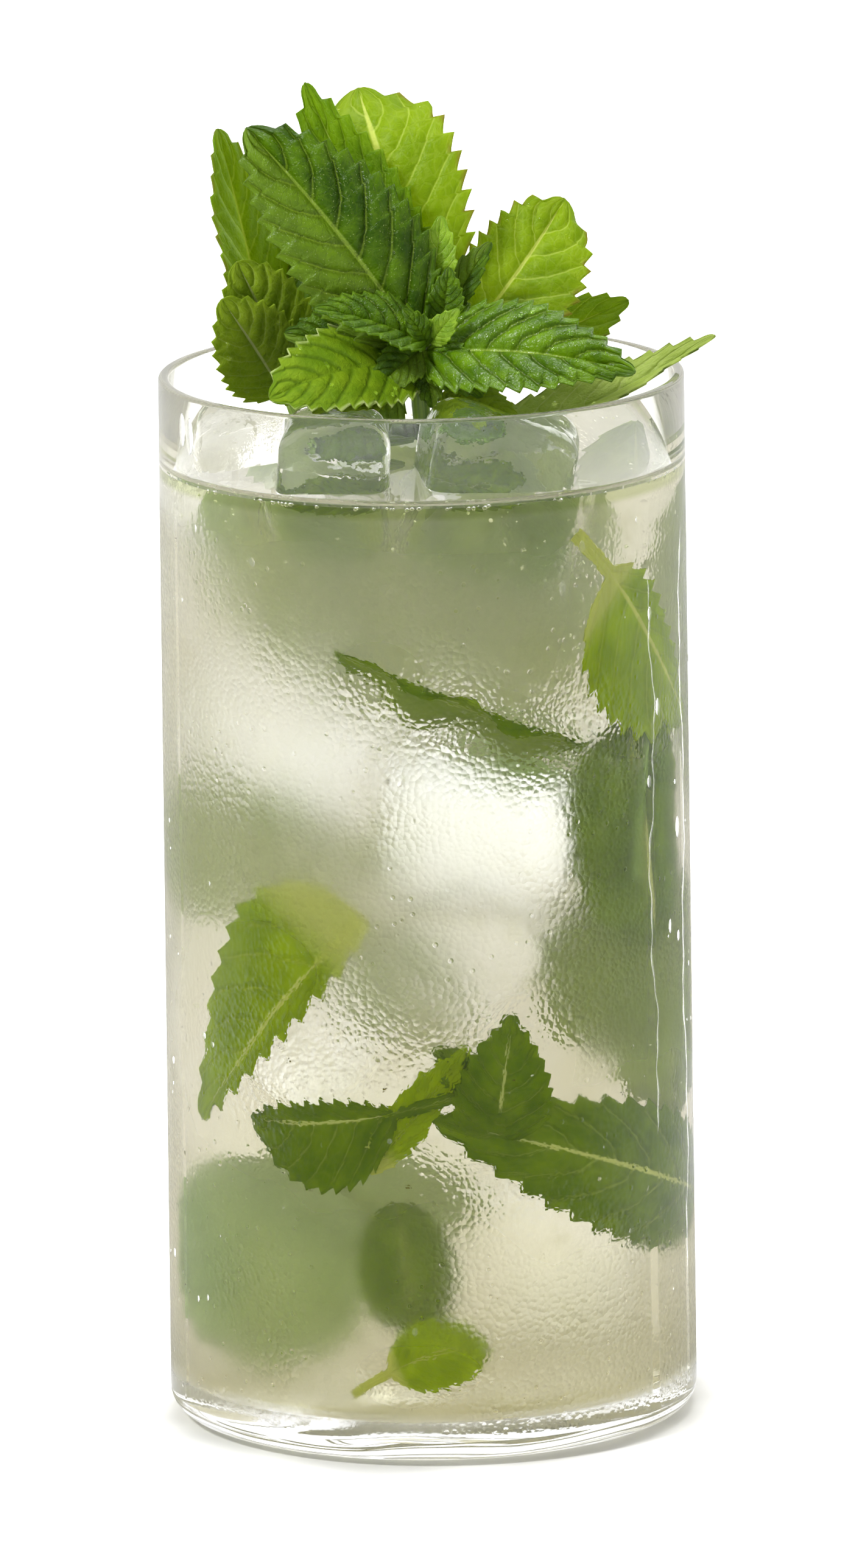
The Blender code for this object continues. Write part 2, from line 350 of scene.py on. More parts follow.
class Shade(Sums):
    """A material's node tree, with its patterns and mixes of colours."""

    def __init__(self, name: str) -> None:
        """Starts an empty tree with one Principled shader, and the Object and UV coordinates.

        Args:
            name: the material's name.
        """
        self.material = bpy.data.materials.new(name)
        self.material.use_nodes = True
        super().__init__(self.material.node_tree)
        self.tree.nodes.clear()
        self.out = self.add("OutputMaterial", {})
        self.body = self.add("BsdfPrincipled", {})
        self.surface(self.body)
        coordinates = self.add("TexCoord", {}).outputs
        self.place, self.uv = coordinates["Object"], coordinates["UV"]

    def surface(self, shader: bpy.types.Node) -> None:
        """Makes a shader the material's surface."""
        self.put(self.out.inputs["Surface"], shader.outputs[0])

    def mix(self, share: Socket | float, low: bpy.types.Node, high: bpy.types.Node) -> bpy.types.Node:
        """A mix of two shaders: low where share is 0 and high where it is 1."""
        return self.add("MixShader", {0: share, 1: low.outputs[0], 2: high.outputs[0]})

    def join(self, x: object, y: object, z: object = 0.0) -> Socket:
        """A vector of three numbers."""
        return self.add("CombineXYZ", {0: x, 1: y, 2: z}).outputs[0]

    def noise(self, scale: float, detail: float = 2.0, rough: float = 0.5,
              where: Socket | None = None) -> Socket:
        """Soft noise from 0 to 1."""
        return self.add("TexNoise", {"Vector": where or self.place, "Scale": scale, "Detail": detail,
                                     "Roughness": rough}).outputs[0]

    def cells(self, scale: float, feature: str = "F1", where: Socket | None = None) -> Socket:
        """The distance in a field of cells: to their centres, or to their edges."""
        return self.add("TexVoronoi", {"Vector": where or self.place, "Scale": scale},
                        feature=feature).outputs["Distance"]

    def blend(self, share: object, low: object, high: object, how: str = "MIX") -> Socket:
        """A mix of two colours.

        Args:
            share: how much of the high colour is in the mix, from 0 to 1.
            low: the colour, or a socket, where share is 0.
            high: the colour, or a socket, where share is 1.
            how: the way that they are mixed.

        Returns:
            The mixed colour.
        """
        node = self.add("Mix", {}, data_type="RGBA", blend_type=how)
        for key, value in ((0, share), (6, low), (7, high)):
            if isinstance(value, tuple) and len(value) == 3:
                value = paint(value)
            self.put(node.inputs[key], value)
        return node.outputs[2]

    def bump(self, height: Socket, strength: Socket | float, distance: float,
             under: Socket | None = None) -> Socket:
        """A bumped normal, with distance in millimetres."""
        return self.add("Bump", {"Height": height, "Strength": strength, "Distance": distance * MM,
                                 "Normal": under}).outputs[0]

    def dress(self, **values: object) -> None:
        """Sets the Principled shader's sockets: underscores in a name stand for spaces."""
        for key, value in values.items():
            if isinstance(value, tuple) and len(value) == 3:
                value = paint(value)
            self.put(self.body.inputs[key.replace("_", " ")], value)


class Mint(Enum):
    """Which side a mint leaf shows and in what light, in the air and sunk in the drink.

    The dark kind is partly painted shade. The backlit kinds are painted lighter for light from
    behind. The deep and misty sunk kinds are painted pale for the cloud's light in front of them.
    """

    DARK = "leaf_dark_shaded"
    DEEP = "leaf_deep"
    FRESH = "leaf_fresh"
    VELVET = "leaf_velvet"
    BACKLIT = "leaf_backlit"
    GOLDEN = "leaf_bright_backlit"
    OLIVE = "leaf_olive"
    PALE = "leaf_pale"
    BUD = "leaf_bud"
    SUNK = "leaf_sunk"
    SUNK_BRIGHT = "leaf_sunk_bright"
    SUNK_OLIVE = "leaf_sunk_olive"
    SUNK_DEEP = "leaf_sunk_deep"
    SUNK_MIST = "leaf_sunk_mist"


@dataclass(frozen=True)
class LeafFinish:
    """How one kind of mint leaf is coloured: its blade, its darker patches and the shade painted along its
    grooves, its veins and the light through it.
    """

    blade: Colour
    # hollow is the colour of the darker random patches, and of the shade painted along the grooves.
    hollow: Colour
    vein: Colour
    glow: Colour
    glow_share: float = 0.4
    rib: Colour = (150, 170, 90)
    rib_show: float = 0.6
    vein_show: float = 0.5
    net_show: float = 0.15
    groove_shade: float = 0.0
    pale_foot: float = 0.0
    roughness: float = 0.42
    margin: Colour | None = None
    dots: float = 0.0
    left_painted_light: float = 0.0
    laterals: float = 7.0
    sweep: float = 0.3
    bump: float = 0.5
    specular: float = 0.5

    TALL = 1.7
    SPECK = (188, 200, 130)

    def make(self, name: str) -> bpy.types.Material:
        """The material, which reads the leaf's own UV map.

        Args:
            name: the material's name.

        Returns:
            The finished material.
        """
        s = Shade(name)
        across_uv, along, _ = s.parts(s.uv)
        across = s.line(across_uv, 2.0, -1.0)
        side = s.sum("ABSOLUTE", across)
        left = s.sum("LESS_THAN", across, 0.0)
        tall = s.times(along, self.TALL)
        broad = s.join(across_uv, tall)
        drift = s.line(s.noise(3.0, 1.0, where=broad), 0.04, -0.02)
        arc = s.times(s.sum("POWER", side, 1.2), -self.sweep)
        order = s.times(s.plus(s.plus(along, arc), drift), self.laterals)
        order = s.line(left, 0.5, order)
        off = s.sum("ABSOLUTE", s.less(s.sum("FRACT", order), 0.5))
        lateral = s.times(s.reach(off, 0.012, 0.055, 1.0, 0.0), s.reach(side, 0.7, 1.0, 1.0, 0.1))
        groove = s.times(s.reach(off, 0.0, 0.2, 1.0, 0.0), s.reach(side, 0.8, 1.0, 1.0, 0.2))
        rib = s.reach(side, 0.016, 0.045, 1.0, 0.0)
        warped = s.join(s.line(s.noise(14.0, 2.0, where=broad), 0.05, across_uv), tall)
        net_gap = s.cells(13.0, "DISTANCE_TO_EDGE", warped)
        net = s.reach(net_gap, 0.02, 0.10, 1.0, 0.0)
        mottle = s.noise(3.5, 3.0, 0.6, broad)
        puff = s.times(s.reach(net_gap, 0.0, 0.28), 0.2)

        colour = s.blend(s.reach(mottle, 0.35, 0.68), self.hollow, self.blade)
        # Painted shade: the blade is darkened towards the hollow colour along the sunken veins.
        colour = s.blend(s.times(groove, self.groove_shade), colour, self.hollow, "MULTIPLY")
        colour = s.blend(s.times(net, self.net_show), colour, self.vein)
        colour = s.blend(s.times(lateral, self.vein_show), colour, self.vein)
        pale = s.sum("MAXIMUM", s.times(rib, self.rib_show),
                     s.reach(along, 0.1, 0.22, self.pale_foot, 0.0))
        colour = s.blend(pale, colour, self.rib)
        # Painted light: the left half of the blade is lightened towards the vein colour, as if lit from the
        # left.
        if self.left_painted_light:
            colour = s.blend(s.times(left, self.left_painted_light), colour, self.vein)
        if self.margin:
            rim = s.times(s.reach(side, 0.86, 1.0),
                          s.reach(s.noise(9.0, 3.0, where=broad), 0.4, 0.6))
            colour = s.blend(rim, colour, self.margin)
        if self.dots:
            speck = s.reach(s.cells(60.0, "F1", warped), 0.10, 0.18, self.dots, 0.0)
            colour = s.blend(speck, colour, self.SPECK)
        height = mottle
        if self.specular:
            fine = s.cells(46.0, "DISTANCE_TO_EDGE", warped)
            height = s.plus(puff, s.times(s.reach(fine, 0.0, 0.3), 0.12))
        height = s.less(height, s.times(groove, 0.7))
        normal = s.bump(height, self.bump, 0.5)
        rough = s.line(s.noise(22.0, 3.0, where=broad), 0.2, self.roughness - 0.1)
        s.dress(Base_Color=colour, Roughness=rough, Normal=normal, Specular_IOR_Level=self.specular)
        light = s.blend(s.times(lateral, 0.45), s.blend(0.55, colour, self.glow), self.vein)
        light = s.blend(s.times(rib, 0.4), light, self.rib)
        through = s.add("BsdfTranslucent", {"Color": light, "Normal": normal})
        s.surface(s.mix(self.glow_share, s.body, through))
        return s.material


LEAF_FINISHES: dict[Mint, LeafFinish] = {
    # This kind is partly the upper side's own dark green and partly painted shade: darker overall, darker in
    # its grooves and lighter on its left half.
    Mint.DARK: LeafFinish((74, 106, 2), (42, 72, 0), (132, 160, 40), (172, 200, 26), glow_share=0.24,
                          rib=(140, 164, 60), vein_show=0.3, net_show=0.06, groove_shade=0.6, dots=0.4,
                          left_painted_light=0.25, roughness=0.36, specular=0.24, bump=0.6),
    Mint.DEEP: LeafFinish((96, 132, 4), (62, 96, 0), (146, 174, 46), (184, 210, 36), glow_share=0.3,
                          rib=(156, 182, 66), vein_show=0.3, net_show=0.06, groove_shade=0.6, roughness=0.32,
                          bump=0.65, specular=0.36),
    Mint.FRESH: LeafFinish((112, 148, 8), (84, 122, 0), (156, 184, 64), (196, 218, 40), glow_share=0.5,
                           rib=(176, 196, 90), vein_show=0.4, groove_shade=0.3, specular=0.2, bump=0.6),
    Mint.VELVET: LeafFinish((122, 150, 22), (96, 128, 8), (88, 118, 8), (168, 194, 40), glow_share=0.3,
                            rib=(104, 134, 16), rib_show=0.5, vein_show=0.45, groove_shade=0.45, roughness=0.6,
                            margin=(176, 190, 120), specular=0.15, bump=0.5),
    # This kind and the next are painted lighter and yellower for light from behind, on top of the light that
    # their translucent part lets through.
    Mint.BACKLIT: LeafFinish((122, 152, 14), (98, 134, 4), (184, 200, 90), (186, 206, 40),
                             glow_share=0.66, rib=(206, 216, 120), vein_show=0.4, roughness=0.5,
                             margin=(120, 112, 50), specular=0.2),
    Mint.GOLDEN: LeafFinish((146, 170, 30), (120, 150, 16), (206, 218, 110), (196, 214, 56),
                            glow_share=0.66, rib=(228, 232, 140), rib_show=0.8, vein_show=0.5,
                            roughness=0.45, margin=(132, 104, 52), specular=0.2),
    Mint.OLIVE: LeafFinish((138, 162, 34), (112, 138, 18), (170, 188, 90), (196, 212, 50), glow_share=0.5,
                           rib=(206, 212, 150), rib_show=0.85, vein_show=0.4, roughness=0.6, net_show=0.2,
                           specular=0.15),
    Mint.PALE: LeafFinish((164, 182, 90), (144, 164, 66), (188, 200, 122), (196, 214, 90), glow_share=0.4,
                          rib=(196, 206, 140), roughness=0.5, margin=(60, 76, 14), specular=0.25),
    Mint.BUD: LeafFinish((150, 184, 50), (112, 152, 20), (196, 214, 114), (196, 222, 70), glow_share=0.45,
                         rib=(206, 222, 140), roughness=0.3, specular=0.4),
    Mint.SUNK: LeafFinish((108, 132, 14), (80, 106, 4), (164, 178, 80), (182, 202, 40), glow_share=0.5,
                          rib=(206, 210, 130), rib_show=0.85, vein_show=0.45, groove_shade=0.25, specular=0.0,
                          bump=0.4),
    Mint.SUNK_BRIGHT: LeafFinish((176, 200, 6), (146, 172, 2), (206, 216, 70), (228, 240, 24),
                                 glow_share=0.7, rib=(230, 228, 140), rib_show=0.8, pale_foot=0.9, groove_shade=0.2,
                                 specular=0.0, bump=0.4),
    Mint.SUNK_OLIVE: LeafFinish((140, 162, 48), (108, 130, 28), (170, 184, 90), (196, 214, 80),
                                glow_share=0.5, rib=(196, 206, 120), groove_shade=0.2, specular=0.0, bump=0.3),
    # This kind and the next are painted pale, near white for the next one, for the cloud's light in front of
    # the deepest sunk leaves; the cloud in the drink adds its own veil as well.
    Mint.SUNK_DEEP: LeafFinish((196, 216, 156), (164, 190, 122), (200, 218, 160), (222, 236, 176),
                               glow_share=0.6, rib=(204, 212, 150), groove_shade=0.2, specular=0.0, bump=0.2),
    Mint.SUNK_MIST: LeafFinish((232, 240, 216), (214, 228, 194), (230, 238, 212), (244, 249, 230),
                               glow_share=0.86, rib=(214, 222, 180), groove_shade=0.2, specular=0.0, bump=0.2),
}


LEAF_SLOTS: dict[Mint, str] = {
    Mint.OLIVE: "leaf_underside", Mint.PALE: "leaf_underside",
    Mint.BACKLIT: "leaf_backlit", Mint.GOLDEN: "leaf_backlit"}


@dataclass(frozen=True)
class Leaf:
    """One mint leaf: where it runs, how it bends and what it is finished as, in millimetres."""

    name: str
    base: Spot
    tip: Spot
    face: Spot
    width: float
    kind: Mint = Mint.DARK
    behind: Mint = Mint.OLIVE
    left: float = 1.0
    right: float = 1.0
    bow: float = 1.0
    hook: float = 0.0
    sway: float = 0.0
    fold: float = 0.08
    cup: float = 0.0
    wave: float = 0.3
    blunt_base: float = 0.55
    blunt_tip: float = 0.85
    teeth: int = 10
    stalk: float = 0.0
    relief: float = 0.25
    jag: float = 0.13
    petiole: float = 1.1
    node: bool = True
    sunk: bool = False

    COLUMNS = 41
    THICKNESS = 0.3
    POINT = 0.3
    TOOTH = (0.0, 0.17, 0.34, 0.51, 0.68, 0.85, 0.925)
    TOOTH_TIP = 0.85
    ROOM = 36.1
    FLOOR = 6.6

    def middle_surface(self) -> np.ndarray:
        """The leaf's middle surface.

        Returns:
            Rows from stalk to tip by columns from left to right, in millimetres.
        """
        base, tip = np.array(self.base, float), np.array(self.tip, float)
        run = tip - base
        length = float(np.linalg.norm(run))
        along = run / length
        face = np.array(self.face, float)
        face = unit(face - along * face.dot(along))
        side = np.cross(along, face)
        peak = self.blunt_base / (self.blunt_base + self.blunt_tip)
        tallest = peak ** self.blunt_base * (1 - peak) ** self.blunt_tip
        blade = np.array([(k + u) / self.teeth for k in range(self.teeth) for u in self.TOOTH] + [1.0])
        tooth = [(u / self.TOOTH_TIP) ** 1.25 if u <= self.TOOTH_TIP else (1 - u) / (1 - self.TOOTH_TIP)
                 for u in self.TOOTH]
        jut = np.array(tooth * self.teeth + [0.0])
        s = self.stalk + (1 - self.stalk) * blade
        if self.stalk:
            lead = np.linspace(0, self.stalk, 6)[:-1]
            s = np.concatenate([lead, s])
            blade = np.concatenate([lead * 0, blade])
            jut = np.concatenate([lead * 0, jut])
        v = np.sin(np.linspace(-1, 1, self.COLUMNS) * 0.3 * math.pi) / math.sin(0.3 * math.pi)
        s, blade, jut = s[:, None], blade[:, None], jut[:, None]
        size = np.abs(v)[None, :]
        point = np.minimum((1 - blade) ** self.blunt_tip, 2.5 * (1 - blade))
        shape = blade ** self.blunt_base * point / tallest
        half = self.width / 2 * shape * np.where(v > 0, self.right, self.left)[None, :]
        least = np.where(blade < 0.5, self.petiole, self.POINT) / 2
        bite = self.jag * self.width / 2 * (jut - 0.35) * size ** 2 * np.clip(
            np.minimum(7 * blade, 26 * (1 - blade)), 0, 1)
        reach = np.maximum(half + bite, least) * size
        ripple = self.wave * np.sin(math.tau * (2.5 * blade + np.where(v > 0, 0.25, 0)[None, :]))
        ripple = ripple * np.minimum(1, np.minimum(4 * (1 - blade), 6 * blade))
        raised = reach * math.sin(self.fold) + (self.cup * half + ripple) * size ** 2
        raised = raised + self.quilting(blade, v[None, :], half) + self.petiole_dome(blade, size)
        arch, hook = 4 * s * (1 - s), 6.75 * self.hook * s * s * (1 - s)
        middle = (base + run * s[..., None] + arch[..., None] * (self.bow * face + self.sway * side)
                  + hook[..., None] * face)
        forward = 0.07 * jut * size ** 2 * length / self.teeth
        grid = (middle + side * (np.sign(v)[None, :] * reach * math.cos(self.fold))[..., None]
                + face * raised[..., None] + along * forward[..., None])
        return self.inside_wall(grid) if self.sunk else grid

    @classmethod
    def inside_wall(cls, grid: np.ndarray) -> np.ndarray:
        """A grid with what would pass the glass's inner wall or its floor pressed back along it.

        Args:
            grid: rows of points, in millimetres.

        Returns:
            The pressed grid.
        """
        far = np.hypot(grid[..., 0], grid[..., 1])
        pull = np.minimum(1, cls.ROOM / np.maximum(far, 1e-6))
        pressed = grid * np.stack([pull, pull, np.ones_like(pull)], axis=-1)
        pressed[..., 2] = np.maximum(pressed[..., 2], cls.FLOOR)
        return pressed

    def quilting(self, blade: np.ndarray, v: np.ndarray, half: np.ndarray) -> np.ndarray:
        """How far the blade puffs up between its veins and sinks along them.

        Args:
            blade: each row's share of the way from the stalk to the tip.
            v: each column's place, from -1 at the left to 1 at the right.
            half: half the blade's width, in millimetres.

        Returns:
            The rise of each point, in millimetres.
        """
        finish = LEAF_FINISHES[self.kind]
        size = np.abs(v)
        order = finish.laterals * (blade - finish.sweep * size ** 1.2) + np.where(v < 0, 0.5, 0)
        off = np.abs(order - np.floor(order) - 0.5) * 2
        puff = 1 - (1 - np.clip(off, 0, 1)) ** 2.5
        room = np.minimum(1, half / 4)
        swell = puff * ease(size, 0.0, 0.25) * (1 - 0.8 * ease(size, 0.6, 1.0))
        rib = np.exp(-(size / 0.05) ** 2)
        return room * self.relief * (swell * 1.6 - rib * 1.2)

    @staticmethod
    def petiole_dome(blade: np.ndarray, size: np.ndarray) -> np.ndarray:
        """Rounds the narrow stalk into a half tube, in millimetres."""
        return 0.35 * np.sqrt(np.clip(1 - size ** 2, 0, 1)) * (1 - ease(blade, 0.0, 0.08))

    def build(self, materials: dict[Mint, bpy.types.Material]) -> bpy.types.Object:
        """Shapes and dresses the leaf.

        Args:
            materials: the made finishes, by kind.

        Returns:
            The finished piece.
        """
        piece = Bench.sheet(self.name, self.middle_surface())
        skin = piece.modifiers.new("thickness", "SOLIDIFY")
        skin.thickness = self.THICKNESS * MM
        skin.offset, skin.material_offset = 0, 1
        sides = [materials[self.kind], materials[self.behind]]
        for side in sides:
            piece.data.materials.append(side)
        Bench.apply(piece)
        kept = [face.material_index for face in piece.data.polygons]
        nodes = [self.name] if self.node and not self.sunk else []
        Bench.finish(piece, self.name + "_leaf", sides, LEAF_SLOTS.get(self.kind, "leaf_upper"), nodes)
        piece.data.polygons.foreach_set("material_index", kept)
        return piece


SPRIG = (
    Leaf("leaf_front_left", (-0.9, -6.2, 159.3), (-24.7, -5.0, 189.8), (0.15, -1, 0.15), 20, Mint.DARK,
         left=0.9, right=1.02, bow=2.5, sway=0.6, fold=0.1, cup=-0.1, wave=0.5, blunt_base=0.42, blunt_tip=0.66,
         teeth=14, relief=0.55),
    Leaf("leaf_back_left", (-0.4, -1.4, 159.6), (-16.2, 3.0, 195.0), (-0.1, -1, 0.15), 17.5, Mint.FRESH,
         Mint.OLIVE, right=0.85, bow=1.5, wave=0.4, blunt_base=0.6, blunt_tip=1.0, teeth=12, relief=0.3),
    Leaf("leaf_back_centre", (2.0, 1.2, 158.8), (-8.6, 14.0, 192.2), (0, -1, 0.25), 24, Mint.GOLDEN,
         left=1.25, right=0.88, bow=2, hook=5, fold=0.05, blunt_base=0.6, blunt_tip=0.45, teeth=13,
         relief=0.25),
    Leaf("leaf_far_left", (-21.2, 5.6, 150.6), (-29.0, 6.0, 187.9), (0.85, -0.5, 0.2), 16, Mint.BACKLIT,
         left=1.1, right=1.0, bow=0.5, fold=0.1, blunt_tip=0.72, teeth=13, stalk=0.06),
    Leaf("leaf_left_upper", (-18.8, 3.0, 151.2), (-26.3, -4.2, 170.2), (0.3, -1, 0.2), 14, Mint.OLIVE,
         Mint.DEEP, fold=0.05, blunt_tip=0.7, stalk=0.04),
    Leaf("leaf_left_lower", (-19.2, 2.6, 148.2), (-28.5, -8.4, 165.5), (0.3, -1, 0.1), 13, Mint.OLIVE,
         Mint.DEEP, fold=0.05, blunt_tip=0.75, stalk=0.12),
    Leaf("leaf_shaded", (-17.9, 6.6, 150.9), (-19.5, 16.5, 173.5), (-0.35, -1, 0.2), 11, Mint.DARK,
         fold=0.05, stalk=0.1),
    Leaf("leaf_front_low", (-1.6, -7.0, 155.2), (-21.7, -20.0, 152.9), (-0.1, -0.75, 0.65), 15.5,
         Mint.VELVET, left=0.95, bow=2, sway=0.6, fold=0, blunt_base=0.32, blunt_tip=0.62, teeth=12,
         relief=0.22),
    Leaf("leaf_front_small", (0.4, -9.0, 158.9), (-15.2, -14.6, 165.0), (0.1, -0.6, 0.8), 10, Mint.DEEP,
         fold=0.3, blunt_base=0.4, relief=0.4),
    Leaf("leaf_bud_left", (2.8, -4.9, 160.6), (4.2, -5.2, 169.2), (0.2, -1, 0.3), 5.6, Mint.DEEP, bow=0.8,
         fold=0.3, teeth=7, relief=0.15),
    Leaf("leaf_bud_top", (1.6, -3.2, 165.0), (3.2, -3.4, 176.4), (0.1, -1, 0.2), 6, Mint.BUD, bow=0.6,
         fold=0.3, teeth=6, relief=0.15),
    Leaf("leaf_bud_right", (2.7, -2.4, 160.0), (10.4, -1.6, 172.1), (-0.3, -1, 0.3), 6.5, Mint.DARK,
         right=0.7, bow=0.6, fold=0.35, teeth=8, relief=0.15),
    Leaf("leaf_right_upper", (1.7, -1.0, 152.6), (21.1, 10.8, 176.2), (-0.1, -1, 0.3), 19, Mint.GOLDEN,
         left=0.76, sway=1, blunt_base=0.55, blunt_tip=0.55, teeth=12, stalk=0.16, relief=0.35),
    Leaf("leaf_right_front", (0.9, -7.6, 157.2), (30.7, -18.0, 155.8), (0.1, -0.7, 0.7), 17, Mint.DEEP,
         right=0.93, bow=2.5, fold=0.05, blunt_base=0.4, teeth=13, relief=0.6),
    Leaf("leaf_right_back", (1.6, -0.6, 150.4), (30.2, 11.6, 161.0), (0, -1, 0.3), 10, Mint.BACKLIT,
         bow=0.5, stalk=0.25),
    Leaf("leaf_far_right", (8.6, -3.6, 141.7), (42.6, 2.0, 157.4), (-0.3, -0.5, 0.85), 10.5, Mint.PALE,
         Mint.DEEP, bow=-1.2, fold=0.5, teeth=12, blunt_base=0.32, stalk=0.04, relief=0.1),
)


def tuft(name: str, *shape: object, **bends: object) -> Leaf:
    """A small young leaf that only this scene has, in the tuft where the leaves meet."""
    return Leaf("tuft_" + name, *shape, **{"node": False, **bends})


def sunk(name: str, *shape: object, **bends: object) -> Leaf:
    """A leaf wholly sunk in the drink, a little more folded than one in the air."""
    return Leaf("sunk_" + name, *shape, **{"fold": 0.1, "sunk": True, **bends})


TUFT = (
    tuft("left", (0.2, -8.2, 158.0), (-7.6, -12.6, 151.8), (-0.1, -1, 0.3), 7, Mint.DARK, bow=1.2,
         fold=0.25, blunt_base=0.35, teeth=8, relief=0.25),
    tuft("right", (1.0, -8.0, 157.6), (8.8, -12.0, 151.4), (0.1, -1, 0.3), 7.5, Mint.DEEP, bow=1.2,
         fold=0.25, blunt_base=0.35, teeth=8, relief=0.25),
    tuft("centre", (0.6, -8.4, 157.4), (1.6, -10.4, 149.6), (0.0, -1, 0.1), 6.5, Mint.DARK, bow=1.0,
         fold=0.3, blunt_base=0.35, teeth=7, relief=0.25),
    tuft("back", (-3.4, -4.6, 156.6), (-19.6, -6.4, 160.0), (0.1, -1, 0.5), 12, Mint.DARK, bow=1.0,
         fold=0.15, blunt_base=0.4, relief=0.3),
    tuft("low_left", (-5.0, -8.0, 151.6), (-15.4, -15.0, 149.0), (-0.1, -0.8, 0.8), 6.5, Mint.OLIVE,
         bow=0.8, teeth=8),
    tuft("low_right", (3.6, -9.0, 151.0), (13.8, -14.0, 148.6), (0.1, -0.8, 0.8), 6.5, Mint.OLIVE, bow=0.8,
         teeth=8),
    tuft("shade_left", (-3.6, -8.4, 152.4), (-13.6, -8.6, 142.2), (0.0, -1, 0.2), 10.5, Mint.DARK, bow=0.6,
         teeth=8),
    tuft("shade_right", (3.2, -7.2, 151.4), (12.6, -7.6, 142.4), (0.0, -1, 0.2), 8.5, Mint.OLIVE, bow=0.6,
         teeth=8),
    tuft("float_left", (-1.0, -7.4, 141.4), (-17.0, 3.0, 141.2), (0.0, 0, 1), 13, Mint.DARK, bow=0.3,
         fold=0.02, wave=0.2, teeth=9),
    tuft("float_right", (2.2, -6.4, 141.4), (17.0, 4.0, 141.2), (0.0, 0, 1), 13, Mint.DEEP, bow=0.3,
         fold=0.02, wave=0.2, teeth=9),
    tuft("young_left", (0.9, -8.6, 158.6), (-2.6, -11.0, 164.2), (0.1, -1, 0.6), 4.4, Mint.DEEP, bow=0.8,
         fold=0.35, teeth=6, relief=0.15),
    tuft("young_right", (1.6, -8.2, 158.8), (5.6, -10.4, 164.0), (0.1, -1, 0.5), 4.2, Mint.BUD, bow=0.8,
         fold=0.35, teeth=6, relief=0.15),
)

